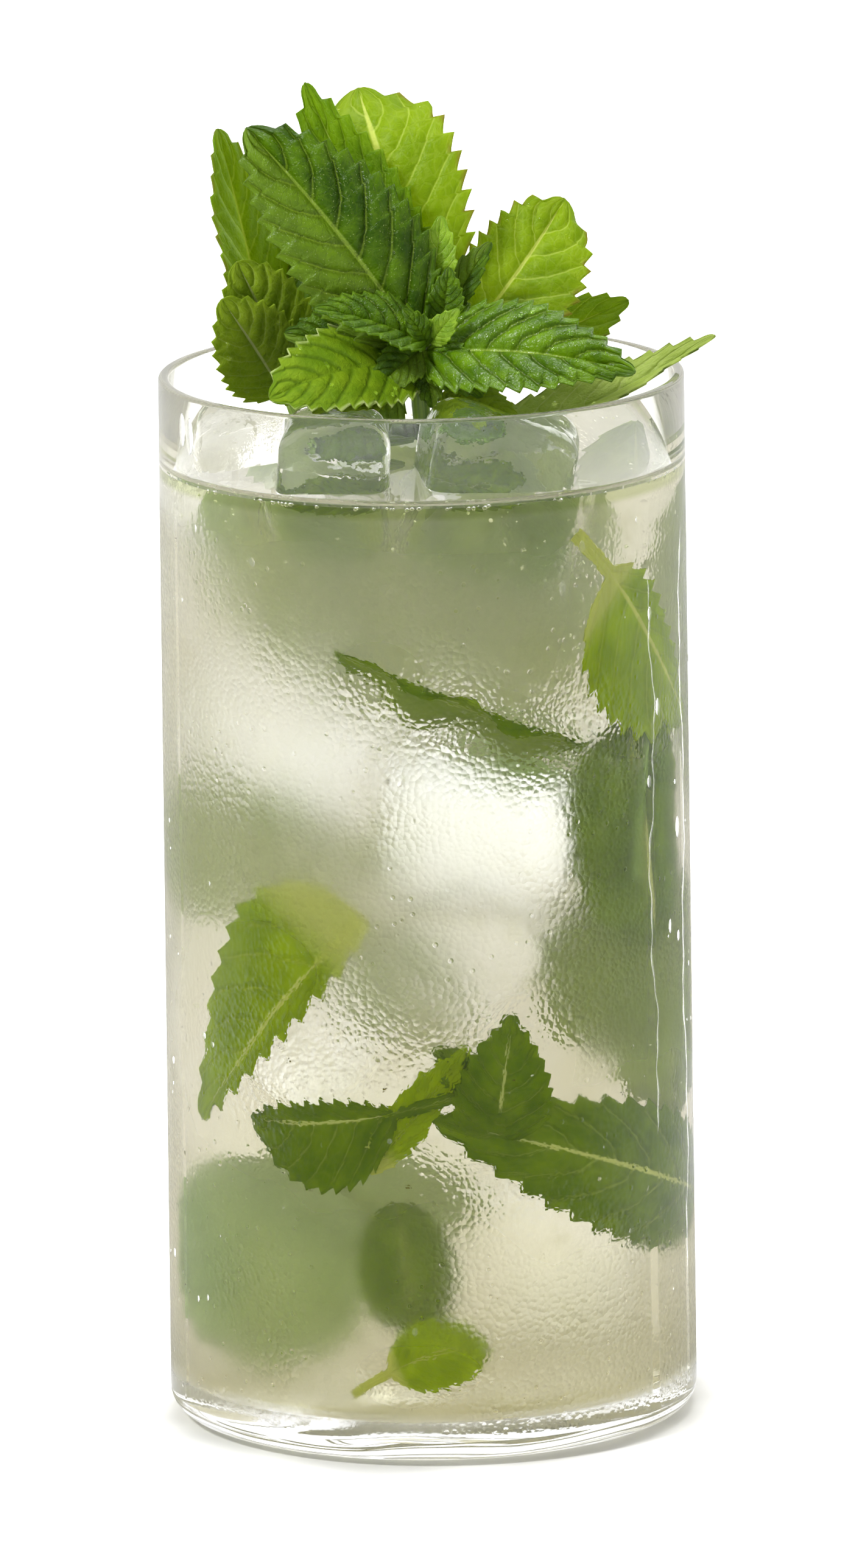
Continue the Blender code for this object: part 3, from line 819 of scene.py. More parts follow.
SUNK_MINT = (
    sunk("right_top", (21.2, -29.2, 134.5), (35.9, -5.6, 103.0), (0.9, -1, 0.1), 29, Mint.SUNK_BRIGHT,
         Mint.SUNK, left=0.4, right=1.0, bow=7.0, sway=-1.0, fold=0.05, wave=0.6, blunt_base=0.45,
         blunt_tip=0.75, stalk=0.2, petiole=2.3),
    sunk("edge_on", (22.0, -26.0, 103.0), (-12.6, -33.0, 118.8), (0.25, 0.32, 1), 20, Mint.SUNK, left=0.5,
         bow=-1.0, sway=-3.0, fold=-0.25, wave=1.5, teeth=11),
    sunk("right_dark", (27.5, -17.0, 105.0), (30.5, -13.0, 71.0), (0.5, -1, 0.1), 25, Mint.SUNK, bow=2,
         wave=0.8, blunt_base=0.35, blunt_tip=0.45),
    sunk("right_oval", (20.5, -12.0, 79.0), (21.2, -9.0, 54.5), (0.4, -1, 0.1), 16, Mint.SUNK_OLIVE,
         blunt_base=0.5, blunt_tip=0.5),
    sunk("left_bright", (-8.6, -31.0, 79.6), (-31.6, -16.0, 46.6), (-0.5, -1, 0.15), 27, Mint.SUNK_BRIGHT,
         Mint.SUNK, left=0.22, right=1.05, bow=5.5, fold=0.05, wave=0.6, blunt_base=0.35, blunt_tip=0.8),
    sunk("low_centre", (4.6, -34.6, 54.0), (-25.0, -25.4, 49.0), (-0.25, -1, 0.1), 18, Mint.SUNK, right=0.3,
         left=1.15, bow=4.6, sway=-1.5, wave=0.7, stalk=0.28, blunt_base=0.6, blunt_tip=0.6, petiole=1.6),
    sunk("low_fold", (-8.8, -33.4, 42.5), (5.4, -33.6, 61.0), (0.35, -1, 0.3), 8, Mint.SUNK_BRIGHT,
         right=0.7, bow=1.2, fold=0.2, wave=0.6, teeth=7),
    sunk("low_right", (35.2, 4.0, 30.0), (0.4, -35.6, 50.4), (0.7, -0.9, 0.05), 21, Mint.SUNK, right=0.9,
         bow=10.5, sway=1.0, fold=0.02, wave=0.3, teeth=13, blunt_base=0.42, blunt_tip=0.76),
    sunk("low_upright", (9.0, -32.6, 47.0), (11.4, -32.6, 65.4), (0.3, -1, 0.1), 14.5, Mint.SUNK, bow=0.6,
         teeth=9, blunt_base=0.4, blunt_tip=0.95),
    sunk("low_sliver", (7.0, -32.0, 54.0), (0.6, -32.6, 60.5), (0.1, -1, 0.3), 6.5, Mint.SUNK, fold=0.2,
         teeth=6),
    sunk("low_blue", (-24.4, -10.0, 35.5), (5.4, -11.0, 33.0), (-0.1, -1, 0.2), 17, Mint.SUNK_DEEP, bow=2,
         blunt_tip=0.6),
    sunk("low_round", (-4.6, -27.5, 37.0), (-2.4, -27.0, 17.0), (0.0, -1, 0.1), 13, Mint.SUNK,
         blunt_base=0.5, blunt_tip=0.5),
    sunk("foot", (-11.4, -33.2, 9.4), (7.6, -31.4, 16.4), (-0.05, -1, 0.2), 10.5, Mint.SUNK_BRIGHT, bow=1.2,
         sway=-1.5, stalk=0.3, teeth=8, blunt_tip=0.6),
    sunk("low_left", (-20.0, -9.0, 40.0), (-21.0, -10.0, 8.5), (-0.4, -1, 0.2), 31, Mint.SUNK_DEEP,
         Mint.SUNK, bow=2, fold=0.15, wave=0.8, blunt_base=0.4, blunt_tip=0.5),
    sunk("left_band", (-34.0, 7.0, 83.0), (-2.4, 8.0, 80.0), (-0.1, -1, 0.2), 20, Mint.SUNK_MIST,
         blunt_base=0.35),
    sunk("centre_low", (-11.0, 3.0, 75.0), (3.0, 1.0, 54.0), (0.0, -1, 0.2), 12, Mint.SUNK_MIST,
         blunt_tip=0.6),
    sunk("top_left", (-21.0, 2.0, 138.0), (-7.0, 4.0, 107.0), (0.0, -1, 0.2), 19, Mint.SUNK_MIST),
    sunk("top_centre", (-6.0, 5.0, 139.0), (-2.0, 8.0, 101.0), (0.1, -1, 0.3), 20, Mint.SUNK_MIST),
    sunk("top_right", (8.0, 1.0, 139.0), (10.5, 4.0, 100.0), (0.1, -1, 0.2), 21, Mint.SUNK_MIST),
    sunk("top_edge", (16.0, 3.0, 138.0), (9.0, 5.0, 110.0), (0.1, -1, 0.2), 14, Mint.SUNK_MIST),
    sunk("right_back", (33.0, 10.0, 138.0), (30.0, 13.0, 84.0), (0.3, -1, 0.1), 20, Mint.SUNK_OLIVE),
    sunk("centre_right", (3.0, -5.0, 101.5), (21.0, -8.0, 95.5), (0.1, -1, 0.3), 9, Mint.SUNK_DEEP),
    sunk("right_low", (29.0, -2.0, 80.0), (30.0, -4.0, 43.0), (0.5, -1, 0.1), 22, Mint.SUNK_OLIVE,
         blunt_base=0.4, blunt_tip=0.5),
    sunk("shade_left", (-2.6, -9.2, 136.9), (-18.6, -9.2, 136.9), (0.0, -1, 0.1), 5.2, Mint.SUNK, bow=0.2,
         fold=0.05, teeth=8, blunt_base=0.3, blunt_tip=0.4),
    sunk("shade_right", (0.4, -7.4, 136.9), (13.6, -7.4, 136.9), (0.0, -1, 0.1), 5.2, Mint.SUNK, bow=0.2,
         fold=0.05, teeth=8, blunt_base=0.3, blunt_tip=0.4),
)


@dataclass(frozen=True)
class Stem:
    """A mint stem through its points, thinner towards its top, in millimetres."""

    name: str
    points: tuple[Spot, ...]
    foot: float
    top: float
    node: bool = True

    SIDES = 24
    SPAN_STEPS = 8

    def path(self) -> np.ndarray:
        """The smooth line through the stem's points.

        Returns:
            Its points from the foot to the top, in millimetres.
        """
        way = [np.array(p, float) for p in self.points]
        path = []
        for i in range(len(way) - 1):
            before, after = way[max(i - 1, 0)], way[min(i + 2, len(way) - 1)]
            for k in range(self.SPAN_STEPS):
                t = k / self.SPAN_STEPS
                path.append(0.5 * (2 * way[i] + (way[i + 1] - before) * t
                                   + (2 * before - 5 * way[i] + 4 * way[i + 1] - after) * t * t
                                   + (3 * way[i] - before - 3 * way[i + 1] + after) * t ** 3))
        path.append(way[-1])
        return np.array(path)

    def build(self, material: bpy.types.Material) -> bpy.types.Object:
        """Shapes and dresses the stem.

        Args:
            material: the stem's finish.

        Returns:
            The finished piece, with rounded ends.
        """
        path = self.path()
        along = unit(np.gradient(path, axis=0))
        across = unit(np.cross(np.array((0.0, 1.0, 0.0)), along))
        front = np.cross(along, across)
        turn = np.linspace(0, math.tau, self.SIDES + 1)
        square = 1 - 0.07 * np.cos(4 * turn)
        share = np.linspace(0, 1, len(path))[:, None]
        joint = 1 + 0.16 * np.exp(-((share - 0.62) / 0.05) ** 2)
        radius = (self.foot + (self.top - self.foot) * share) * joint * square[None, :]
        ring = (across[:, None] * np.cos(turn)[None, :, None] + front[:, None] * np.sin(turn)[None, :, None])
        rows = path[:, None] + ring * radius[..., None]
        piece = Bench.tube(self.name, rows)
        return Bench.finish(piece, self.name + "_stem", [material], "stem",
                            [self.name] if self.node else [], 40)


STEMS = (
    Stem("stem_main", ((1.5, 3.0, 116), (0.9, 0.6, 134), (-0.2, -3.4, 151), (0.2, -3.9, 158.6)), 1.5, 1.1),
    Stem("stem_side", ((-11.0, 3.5, 122), (-15.5, 4.4, 138), (-19.6, 4.6, 150.2)), 1.3, 0.9),
)

SUNK_STEMS = (
    Stem("sunk_right", ((30.6, -16.4, 106), (29.6, -18.0, 95), (28.6, -19.2, 82)), 0.7, 0.9, node=False),
)


@dataclass(frozen=True)
class IceCube:
    """A softly rounded, slightly melted ice cube, in millimetres and degrees."""

    name: str
    centre: Spot
    half: Spot
    turns: Spot
    seed: float
    node: bool = True

    CUTS = 23
    SPREAD = 0.72
    SQUARENESS = 5.5
    DENT = 0.35
    FINE_DENT = 0.06
    OVERLAP = 0.15

    def shape(self, grow: float) -> bpy.types.Object:
        """The cube, shaped from a cube primitive with its corners melted round and its sides dented.

        Args:
            grow: how far it is grown outwards, in millimetres.

        Returns:
            The bare cube.
        """
        Bench.take(None)
        bpy.ops.mesh.primitive_cube_add(size=2)
        piece = bpy.context.object
        bpy.ops.object.mode_set(mode="EDIT")
        bpy.ops.mesh.select_all(action="SELECT")
        bpy.ops.mesh.subdivide(number_cuts=self.CUTS)
        bpy.ops.object.mode_set(mode="OBJECT")
        way = np.tan(Bench.points(piece) * self.SPREAD) / math.tan(self.SPREAD)
        way = way / (np.abs(way) ** self.SQUARENESS).sum(axis=1, keepdims=True) ** (1 / self.SQUARENESS)
        dent = sum(np.sin(way[:, k] * (2.3 + 0.7 * k) + way[:, (k + 1) % 3] * 1.9 + self.seed * (1.7 + k))
                   for k in range(3))
        fine = sum(np.sin(way[:, k] * (7.1 + 1.3 * k) + way[:, (k + 2) % 3] * 6.3 + self.seed * (3.1 + k))
                   for k in range(3))
        points = way * (np.array(self.half) + grow + (self.DENT * dent + self.FINE_DENT * fine)[:, None])
        turns = Matrix.Identity(3)
        for angle, axis in zip(self.turns, "XYZ"):
            turns = Matrix.Rotation(math.radians(angle), 3, axis) @ turns
        points = points @ np.array(turns).T + np.array(self.centre)
        Bench.place(piece, points * MM)
        return piece

    def build(self, dry: bpy.types.Material, wet: bpy.types.Material) -> bpy.types.Object:
        """Shapes and dresses the cube.

        Args:
            dry: the finish above the drink's level.
            wet: the finish below it.

        Returns:
            The finished piece.
        """
        piece = Bench.finish(self.shape(0.0), self.name + "_cube", [dry, wet], "ice",
                             [self.name] if self.node else [])
        for face in piece.data.polygons:
            face.material_index = int(face.center.z / MM < Drink.level)
        return piece


ICE = (
    IceCube("ice_front_left", (-12.4, -18.8, 139.6), (7.9, 8.6, 10.4), (4, -3, -4), 1),
    IceCube("ice_front_right", (10.1, -17.8, 137.6), (11.0, 9.4, 12.4), (-3, 17, 4), 2),
    IceCube("ice_left", (-26.4, -2.6, 137.4), (7.0, 8.2, 8.2), (5, -8, 14), 3),
)

SUNK_ICE = (
    IceCube("sunk_ice_centre", (7.5, -18.0, 90.5), (13.5, 11.5, 11.5), (8, 6, -6), 5, False),
    IceCube("sunk_ice_wedge", (5.5, -20.0, 72.5), (8.6, 8.5, 8.6), (6, 47, 8), 6, False),
    IceCube("sunk_ice_diagonal", (-12.5, -18.5, 60.5), (6.0, 7.0, 13.0), (4, 42, 12), 7, False),
    IceCube("sunk_ice_left", (-17.0, -5.0, 101.0), (12.0, 12.0, 12.0), (24, -16, 38), 11, False),
    IceCube("sunk_ice_back", (5.0, 17.0, 89.0), (15.0, 15.0, 15.0), (15, 20, 15), 8, False),
    IceCube("sunk_ice_low", (14.0, -12.0, 25.0), (12.0, 11.0, 12.0), (5, 12, 35), 9, False),
    IceCube("sunk_ice_low_back", (-4.0, 18.0, 40.0), (13.0, 11.0, 13.0), (10, -15, 15), 10, False),
)


@dataclass
class Tumbler:
    """The straight glass with its thick foot: sizes in millimetres."""

    height: float = 153.0
    rim_radius: float = 38.0
    foot_radius: float = 38.5
    wall: float = 1.6
    floor_top: float = 5.85
    heel: float = 3.2
    corner: float = 4.0
    border: float = 0.5
    wet_top: float = 141.1
    sides: int = 200

    def radius(self, z: float | np.ndarray) -> float | np.ndarray:
        """The outer radius at height z."""
        return self.foot_radius + (self.rim_radius - self.foot_radius) * z / self.height

    def build(self, clear: bpy.types.Material, misted: bpy.types.Material,
              wetted: bpy.types.Material, thick: bpy.types.Material) -> bpy.types.Object:
        """Shapes the glass from a cylinder: hollowed out, then its edges rounded.

        Args:
            clear: the glass finish inside, on the rim and on the foot.
            misted: the glass finish of the outer wall.
            wetted: the glass finish of the inner wall below the drink's edge.
            thick: the glass finish of the foot.

        Returns:
            The finished piece.
        """
        Bench.take(None)
        bpy.ops.mesh.primitive_cylinder_add(vertices=self.sides, radius=self.foot_radius * MM,
                                            depth=self.height * MM, location=(0, 0, self.height / 2 * MM))
        piece = bpy.context.object
        bpy.ops.object.transform_apply(location=True, rotation=True, scale=True)
        bpy.ops.object.mode_set(mode="EDIT")
        Bench.choose(piece, "FACE", lambda p: p.z > self.height - NEAR)
        ratio = self.rim_radius / self.foot_radius
        bpy.ops.transform.resize(value=(ratio, ratio, 1))
        bpy.ops.mesh.inset(thickness=self.wall * MM)
        depth = self.height - self.floor_top
        bpy.ops.mesh.extrude_region_move(TRANSFORM_OT_translate={"value": (0, 0, -depth * MM)})
        inner_top, inner_foot = self.rim_radius - self.wall, self.radius(self.floor_top) - self.wall
        bpy.ops.transform.resize(value=(inner_foot / inner_top, inner_foot / inner_top, 1))
        flat = inner_foot - self.corner + 0.1
        middle = self.rim_radius - self.wall / 2
        self.round_edges(piece, lambda p: p.z > self.height - NEAR, self.wall / 2 - 0.02, 5)
        self.round_edges(piece, lambda p: abs(p.z - self.floor_top) < NEAR, self.corner, 8)
        self.round_edges(piece, lambda p: p.z < NEAR, self.heel, 9)
        for test in (lambda p: p.z < NEAR,
                     lambda p: abs(p.z - self.floor_top) < NEAR and p.xy.length < flat):
            Bench.choose(piece, "FACE", test)
            bpy.ops.mesh.inset(thickness=self.border * MM)
        Bench.choose(piece, "FACE", lambda p: self.floor_top - 0.1 < p.z < self.height - 0.5
                     and p.xy.length < middle)
        bpy.ops.mesh.bisect(plane_co=(0, 0, self.wet_top * MM), plane_no=(0, 0, 1))
        bpy.ops.object.mode_set(mode="OBJECT")
        piece = Bench.finish(piece, "tumbler", [clear, misted, wetted, thick], "glass", ["glass"])
        for face in piece.data.polygons:
            at = face.center / MM
            outer = at.xy.length > middle
            if outer and face.normal.xy.length > 0.99:
                face.material_index = 1
            if not outer and self.floor_top - 0.1 < at.z < self.wet_top:
                face.material_index = 2
            if at.z < self.floor_top - 0.2 and (face.normal.z < -0.1 or at.z < self.heel):
                face.material_index = 3
        return piece

    @staticmethod
    def round_edges(piece: bpy.types.Object, test: Callable[[Vector], bool], size: float, steps: int) -> None:
        """Rounds the ring edges that pass a test.

        Args:
            piece: the glass, in edit mode.
            test: is given each vertex's place in millimetres.
            size: the rounding's radius in millimetres.
            steps: the segments of the rounding.
        """
        Bench.choose(piece, "EDGE", test)
        bpy.ops.mesh.bevel(offset=size * MM, offset_pct=0, segments=steps, profile=0.5, affect="EDGES",
                           clamp_overlap=True)


@dataclass
class Drink:
    """The drink up to its level, reaching just into the glass's wall: sizes in millimetres."""

    glass: Tumbler = field(default_factory=Tumbler)
    level: float = 140.0
    meniscus: float = 1.1
    bite: float = 0.3
    sides: int = 160

    EDGE = ((0.35, 0.42), (0.4, 0.3), (0.6, 0.24), (1.0, 0.14), (0.6, 0.0))

    def build(self, material: bpy.types.Material) -> bpy.types.Object:
        """Shapes the drink from a cylinder and takes the ice out of it.

        Args:
            material: the drink's finish.

        Returns:
            The finished piece.
        """
        glass, bottom = self.glass, self.glass.floor_top - self.bite
        top = self.level + self.meniscus
        wide = glass.radius(bottom) - glass.wall + self.bite
        narrow = glass.radius(top) - glass.wall + self.bite
        Bench.take(None)
        bpy.ops.mesh.primitive_cylinder_add(vertices=self.sides, radius=wide * MM, depth=(top - bottom) * MM,
                                            location=(0, 0, (top + bottom) / 2 * MM))
        piece = bpy.context.object
        bpy.ops.object.transform_apply(location=True, rotation=True, scale=True)
        bpy.ops.object.mode_set(mode="EDIT")
        Bench.choose(piece, "FACE", lambda p: p.z > top - NEAR)
        bpy.ops.transform.resize(value=(narrow / wide, narrow / wide, 1))
        for inward, down in ((self.bite, 0.0), *self.EDGE):
            bpy.ops.mesh.inset(thickness=inward * MM)
            bpy.ops.transform.translate(value=(0, 0, -down * MM))
        Tumbler.round_edges(piece, lambda p: p.z < bottom + NEAR, glass.corner, 8)
        Bench.choose(piece, "FACE", lambda p: p.z < bottom + NEAR)
        bpy.ops.mesh.inset(thickness=glass.border * MM)
        bpy.ops.object.mode_set(mode="OBJECT")
        for cubes, empty in ((ICE, self.take_out), (SUNK_ICE, self.add_hollow)):
            for cube in cubes:
                empty(piece, cube.shape(-IceCube.OVERLAP))
        return Bench.finish(piece, "mint_and_lime_drink", [material], "drink", ["drink"], 35)

    @staticmethod
    def take_out(piece: bpy.types.Object, tool: bpy.types.Object) -> None:
        """Cuts a shape out of the drink.

        Args:
            piece: the drink.
            tool: the shape, which is used up.
        """
        modifier = piece.modifiers.new("pocket", "BOOLEAN")
        modifier.operation, modifier.solver, modifier.object = "DIFFERENCE", "EXACT", tool
        Bench.apply(piece)
        bpy.data.objects.remove(tool)

    @staticmethod
    def add_hollow(piece: bpy.types.Object, tool: bpy.types.Object) -> None:
        """Joins a wholly sunk hollow to the drink, turned inside out.

        Args:
            piece: the drink.
            tool: the hollow's shape, which is used up.
        """
        Bench.take(tool)
        bpy.ops.object.mode_set(mode="EDIT")
        bpy.ops.mesh.select_all(action="SELECT")
        bpy.ops.mesh.flip_normals()
        bpy.ops.object.mode_set(mode="OBJECT")
        piece.select_set(True)
        bpy.context.view_layer.objects.active = piece
        bpy.ops.object.join()


@dataclass(frozen=True)
class GlassFinish:
    """Clear glass, misted with fine condensation outside below the drink's level, with clear drips.

    A wiped patch, where the mist is thin, is its place round the wall and up it, and half its width
    and height. A drip is its place round the wall and half its width. All are in millimetres.
    """

    mist_top: float = 134.5
    mist_fade: float = 6.0
    mist_roughness: float = 0.5
    wiped: tuple[tuple[float, float, float, float], ...] = (
        (40.0, 119.0, 21.0, 19.0), (-6.5, 115.0, 6.5, 5.5), (6.0, 109.5, 10.0, 5.5), (18.0, 106.0, 8.0, 6.0),
        (-31.0, 60.0, 17.0, 19.0), (-9.0, 51.0, 21.0, 14.0), (32.0, 42.0, 34.0, 14.0),
        (13.0, 57.0, 9.0, 11.0), (-1.5, 13.0, 9.5, 5.0))
    grain: float = 0.2
    bead: float = 0.16
    drips: tuple[tuple[float, float], ...] = (
        (37.9, 1.3), (49.8, 0.9), (-46.0, 0.7), (96.0, 1.0), (-88.0, 1.2))

    RADIUS = 38.3
    TINT = (251, 251, 249)
    INDEX = 1.5

    def clear(self) -> bpy.types.Material:
        """The plain glass.

        Returns:
            The finished material, with the slow waviness of a blown wall.
        """
        s = Shade("glass_clear")
        s.dress(Base_Color=self.TINT, Roughness=0.0, IOR=self.INDEX, Transmission_Weight=1.0,
                Normal=s.bump(s.noise(45.0, 0.0), 0.12, 0.5))
        return s.material

    def thick(self) -> bpy.types.Material:
        """The thick foot.

        Returns:
            The finished material, wavy as a pressed underside is.
        """
        s = Shade("glass_foot")
        wave = s.bump(s.noise(36.0, 1.0, 0.4), 1.0, 9.0)
        s.dress(Base_Color=(249, 250, 248), Roughness=0.0, IOR=self.INDEX, Transmission_Weight=1.0,
                Normal=wave)
        return s.material

    def wetted(self) -> bpy.types.Material:
        """The inner wall where the drink wets it, which no longer shines.

        Returns:
            The finished material, which lets light straight on.
        """
        s = Shade("glass_wetted")
        film = s.blend(s.noise(60.0, 0.0), (252, 254, 252), (255, 255, 255))
        s.surface(s.add("BsdfTransparent", {"Color": film}))
        s.tree.nodes.remove(s.body)
        return s.material

    def misted(self) -> bpy.types.Material:
        """The misted glass, which reads Object coordinates.

        Returns:
            The finished material: rough where the mist is thick, and beaded with fine drops.
        """
        s = Shade("glass_misted")
        x, y, z = s.parts(s.place)
        arc = s.times(s.sum("ARCTAN2", x, s.times(y, -1.0)), self.RADIUS)
        height = s.times(z, 1 / MM)
        patch = s.line(s.noise(70.0, 1.0), 8.0, -4.0)
        low = s.reach(s.plus(height, patch), self.mist_top - self.mist_fade,
                      self.mist_top + self.mist_fade, 1.0, 0.0)
        mist = s.times(low, s.reach(height, 3.0, 9.0))
        run = s.times(self.run_down(s, arc, z), mist)
        wet = s.less(mist, s.times(run, 0.85))
        beaded = s.times(wet, s.reach(s.noise(32.0, 1.0), 0.44, 0.6, 0.25, 1.0))
        grain = s.plus(s.cells(1250.0), s.noise(700.0, 1.0))
        dots = s.reach(s.cells(430.0), 0.06, 0.2, 1.0, 0.0)
        drops = s.times(wet, s.reach(s.noise(55.0, 0.0), 0.42, 0.62))
        normal = s.bump(dots, drops, self.bead, s.bump(grain, beaded, self.grain))
        tall = s.join(s.times(x, 90.0), s.times(y, 90.0), s.times(z, 22.0))
        fog = s.reach(s.noise(1.0, 1.0, 0.5, tall), 0.2, 0.6, 0.7 * self.mist_roughness, self.mist_roughness)
        rough = s.times(s.times(wet, fog), s.less(1.0, self.wipe(s, arc, height)))
        rough = s.times(rough, s.less(1.0, s.times(dots, drops)))
        s.dress(Base_Color=self.TINT, Roughness=rough, IOR=self.INDEX, Transmission_Weight=1.0, Normal=normal)
        return s.material

    def run_down(self, s: Shade, arc: Socket, z: Socket) -> Socket:
        """Where drips have run down through the mist.

        Args:
            s: the material's nodes.
            arc: the place round the wall, in millimetres.
            z: the place up it, in metres.

        Returns:
            1 on a drip and 0 beside it.
        """
        wander = s.line(s.noise(18.0, 1.0, where=s.join(0.0, 0.0, z)), 3.0, arc)
        run = 0.0
        for at, width in self.drips:
            off = s.sum("ABSOLUTE", s.less(wander, at + 1.5))
            run = s.sum("MAXIMUM", run, s.reach(off, width * 0.5, width, 1.0, 0.0))
        return run

    def wipe(self, s: Shade, arc: Socket, height: Socket) -> Socket:
        """Where the mist is thin.

        Args:
            s: the material's nodes.
            arc: the place round the wall, in millimetres.
            height: the place up it, in millimetres.

        Returns:
            The share of the mist that is gone.
        """
        clean = 0.0
        ragged = s.line(s.noise(90.0, 0.0), 0.7, -0.35)
        for at, level, wide, high in self.wiped:
            over = s.times(s.less(arc, at), 1 / wide)
            up = s.times(s.less(height, level), 1 / high)
            off = s.line(over, over, s.times(up, up))
            clean = s.sum("MAXIMUM", clean, s.reach(s.plus(off, ragged), 0.3, 1.8, 0.72, 0.0))
        return clean


@dataclass(frozen=True)
class DrinkFinish:
    """A pale lime and soda drink, clouded by fine pulp."""

    tint: Colour = (226, 212, 160)
    absorb: float = 12.0
    cloud: float = 26.0
    forward: float = 0.5

    INDEX = 1.34

    def make(self) -> bpy.types.Material:
        """The material: a clear surface with slow ripples, and a cloud inside.

        The glass's own index is taken off the drink's where it touches the wall, and its bare pockets
        let light straight on, because the ice in them bends it.

        Returns:
            The finished material.
        """
        s = Shade("drink_cloudy")
        x, y, z = s.parts(s.place)
        top = s.sum("GREATER_THAN", z, (Drink.level - 0.03) * MM)
        inner = (Tumbler.rim_radius - Tumbler.wall - 0.1) * MM
        wall = s.sum("MAXIMUM", s.sum("GREATER_THAN", s.length(x, y), inner),
                     s.sum("LESS_THAN", z, (Tumbler.floor_top + 0.15) * MM))
        s.dress(Base_Color=(255, 255, 255), Roughness=0.01, IOR=self.INDEX, Transmission_Weight=1.0,
                Normal=s.bump(s.noise(260.0, 0.0), 0.25, 0.2))
        # The colour of the drink's wall: darker and yellower towards the bottom, darker in random blotches, and
        # greener in a band just under the drink's level.
        low = s.reach(s.line(s.noise(30.0, 0.0), 0.05, z), 0.01, 0.10)
        wall_tint = s.blend(low, (252, 248, 226), (254, 253, 250))
        slow, fine = s.noise(38.0, 1.0), s.noise(240.0, 2.0, 0.6)
        wall_tint = s.blend(s.reach(slow, 0.45, 0.65, 0.0, 0.7), wall_tint, (243, 242, 226), "MULTIPLY")
        wall_tint = s.blend(s.reach(fine, 0.5, 0.75, 0.0, 0.8), wall_tint, (242, 242, 232), "MULTIPLY")
        wall_tint = s.blend(s.reach(z, (Drink.level - 2.2) * MM, (Drink.level - 1.0) * MM), wall_tint, (206, 216, 160))
        side = s.add("BsdfPrincipled", {"Base Color": wall_tint, "Roughness": 0.0, "Transmission Weight": 1.0,
                                        "IOR": self.INDEX / GlassFinish.INDEX})
        shell = s.mix(wall, s.add("BsdfTransparent", {}), side)
        s.surface(s.mix(top, shell, s.body))
        soak = s.add("VolumeAbsorption", {"Color": paint(self.tint), "Density": self.absorb})
        cloud = s.add("VolumeScatter", {"Color": paint((252, 251, 236)), "Density": self.cloud,
                                        "Anisotropy": self.forward})
        both = s.add("AddShader", {0: soak.outputs[0], 1: cloud.outputs[0]})
        s.put(s.out.inputs["Volume"], both.outputs[0])
        return s.material


@dataclass(frozen=True)
class IceFinish:
    """Clear ice with a faintly dimpled skin."""

    index: float = 1.31

    def make(self, name: str, index: float) -> bpy.types.Material:
        """The material, which reads Object coordinates.

        Args:
            name: the material's name.
            index: how strongly it bends light, against what it stands in.

        Returns:
            The finished material.
        """
        s = Shade(name)
        skin = s.plus(s.noise(190.0, 3.0), s.times(s.noise(700.0, 2.0), 0.2))
        frost = s.reach(s.noise(120.0, 4.0, 0.6), 0.55, 0.75, 0.02, 0.16)
        s.dress(Base_Color=(251, 252, 255), Roughness=frost, IOR=index, Transmission_Weight=1.0,
                Normal=s.bump(skin, 0.8, 0.5))
        return s.material


@dataclass(frozen=True)
class StemFinish:
    """A fresh green stem with fine lengthwise ribs."""

    light: Colour = (112, 138, 40)
    dark: Colour = (78, 104, 22)

    def make(self) -> bpy.types.Material:
        """The material, which reads the stem's own UV map.

        Returns:
            The finished material.
        """
        s = Shade("stem_green")
        turn, along, _ = s.parts(s.uv)
        ribs = s.noise(1.0, 3.0, where=s.join(s.times(turn, 26.0), s.times(along, 3.0)))
        hair = s.noise(1800.0, 2.0)
        colour = s.blend(s.reach(ribs, 0.35, 0.65), self.dark, self.light)
        height = s.line(hair, 0.3, ribs)
        s.dress(Base_Color=colour, Roughness=0.45, Normal=s.bump(height, 0.5, 0.15))
        return s.material


@dataclass(frozen=True)
class BeadFinish:
    """A clear drop of water, or a bubble where the index is below one."""

    name: str
    index: float

    def make(self) -> bpy.types.Material:
        """The material.

        Returns:
            The finished material, clear and faintly uneven.
        """
        s = Shade(self.name)
        s.dress(Base_Color=(255, 255, 255), Roughness=0.0, IOR=self.index, Transmission_Weight=1.0,
                Normal=s.bump(s.noise(800.0, 1.0), 0.1, 0.05))
        return s.material


@dataclass
class Bubbles:
    """Small bubbles: a ring of them at the drink's edge, and a few on the wall below."""

    ring: int = 150
    wall: int = 220
    seed: int = 11
    ring_radius: float = 36.1
    ring_height: float = 139.9
    wall_radius: float = 36.2

    def build(self, material: bpy.types.Material) -> bpy.types.Object:
        """Places and joins the bubbles.

        Args:
            material: the bubble's finish.

        Returns:
            The joined piece.
        """
        draw = random.Random(self.seed)
        spots = []
        for number in range(self.ring + self.wall):
            turn = draw.uniform(0, math.tau)
            if number < self.ring:
                size = draw.uniform(0.12, 0.38)
                radius, z = self.ring_radius - draw.random() ** 2 * 1.8, self.ring_height - size * 0.6
            else:
                size = draw.uniform(0.08, 0.22)
                radius, z = self.wall_radius - size - draw.random() * 0.5, draw.uniform(14, 139)
            spots.append((around(turn, radius, z), Matrix.Identity(3), (size, size, size)))
        return Bench.strew("bubbles", spots, 2, material, "drink")


@dataclass(frozen=True)
class SpeckFinish:
    """The finish of something tiny afloat: pale pulp, or a crumb of leaf."""

    colour: Colour
    deep: Colour

    GLOW_SHARE = 0.4

    def make(self, name: str) -> bpy.types.Material:
        """The material, mottled, with light passing through it.

        Args:
            name: the material's name.

        Returns:
            The finished material.
        """
        s = Shade(name)
        tone = s.blend(s.noise(300.0, 2.0), self.deep, self.colour)
        s.dress(Base_Color=tone, Roughness=0.6, Specular_IOR_Level=0.0)
        s.surface(s.mix(self.GLOW_SHARE, s.body, s.add("BsdfTranslucent", {"Color": tone})))
        return s.material


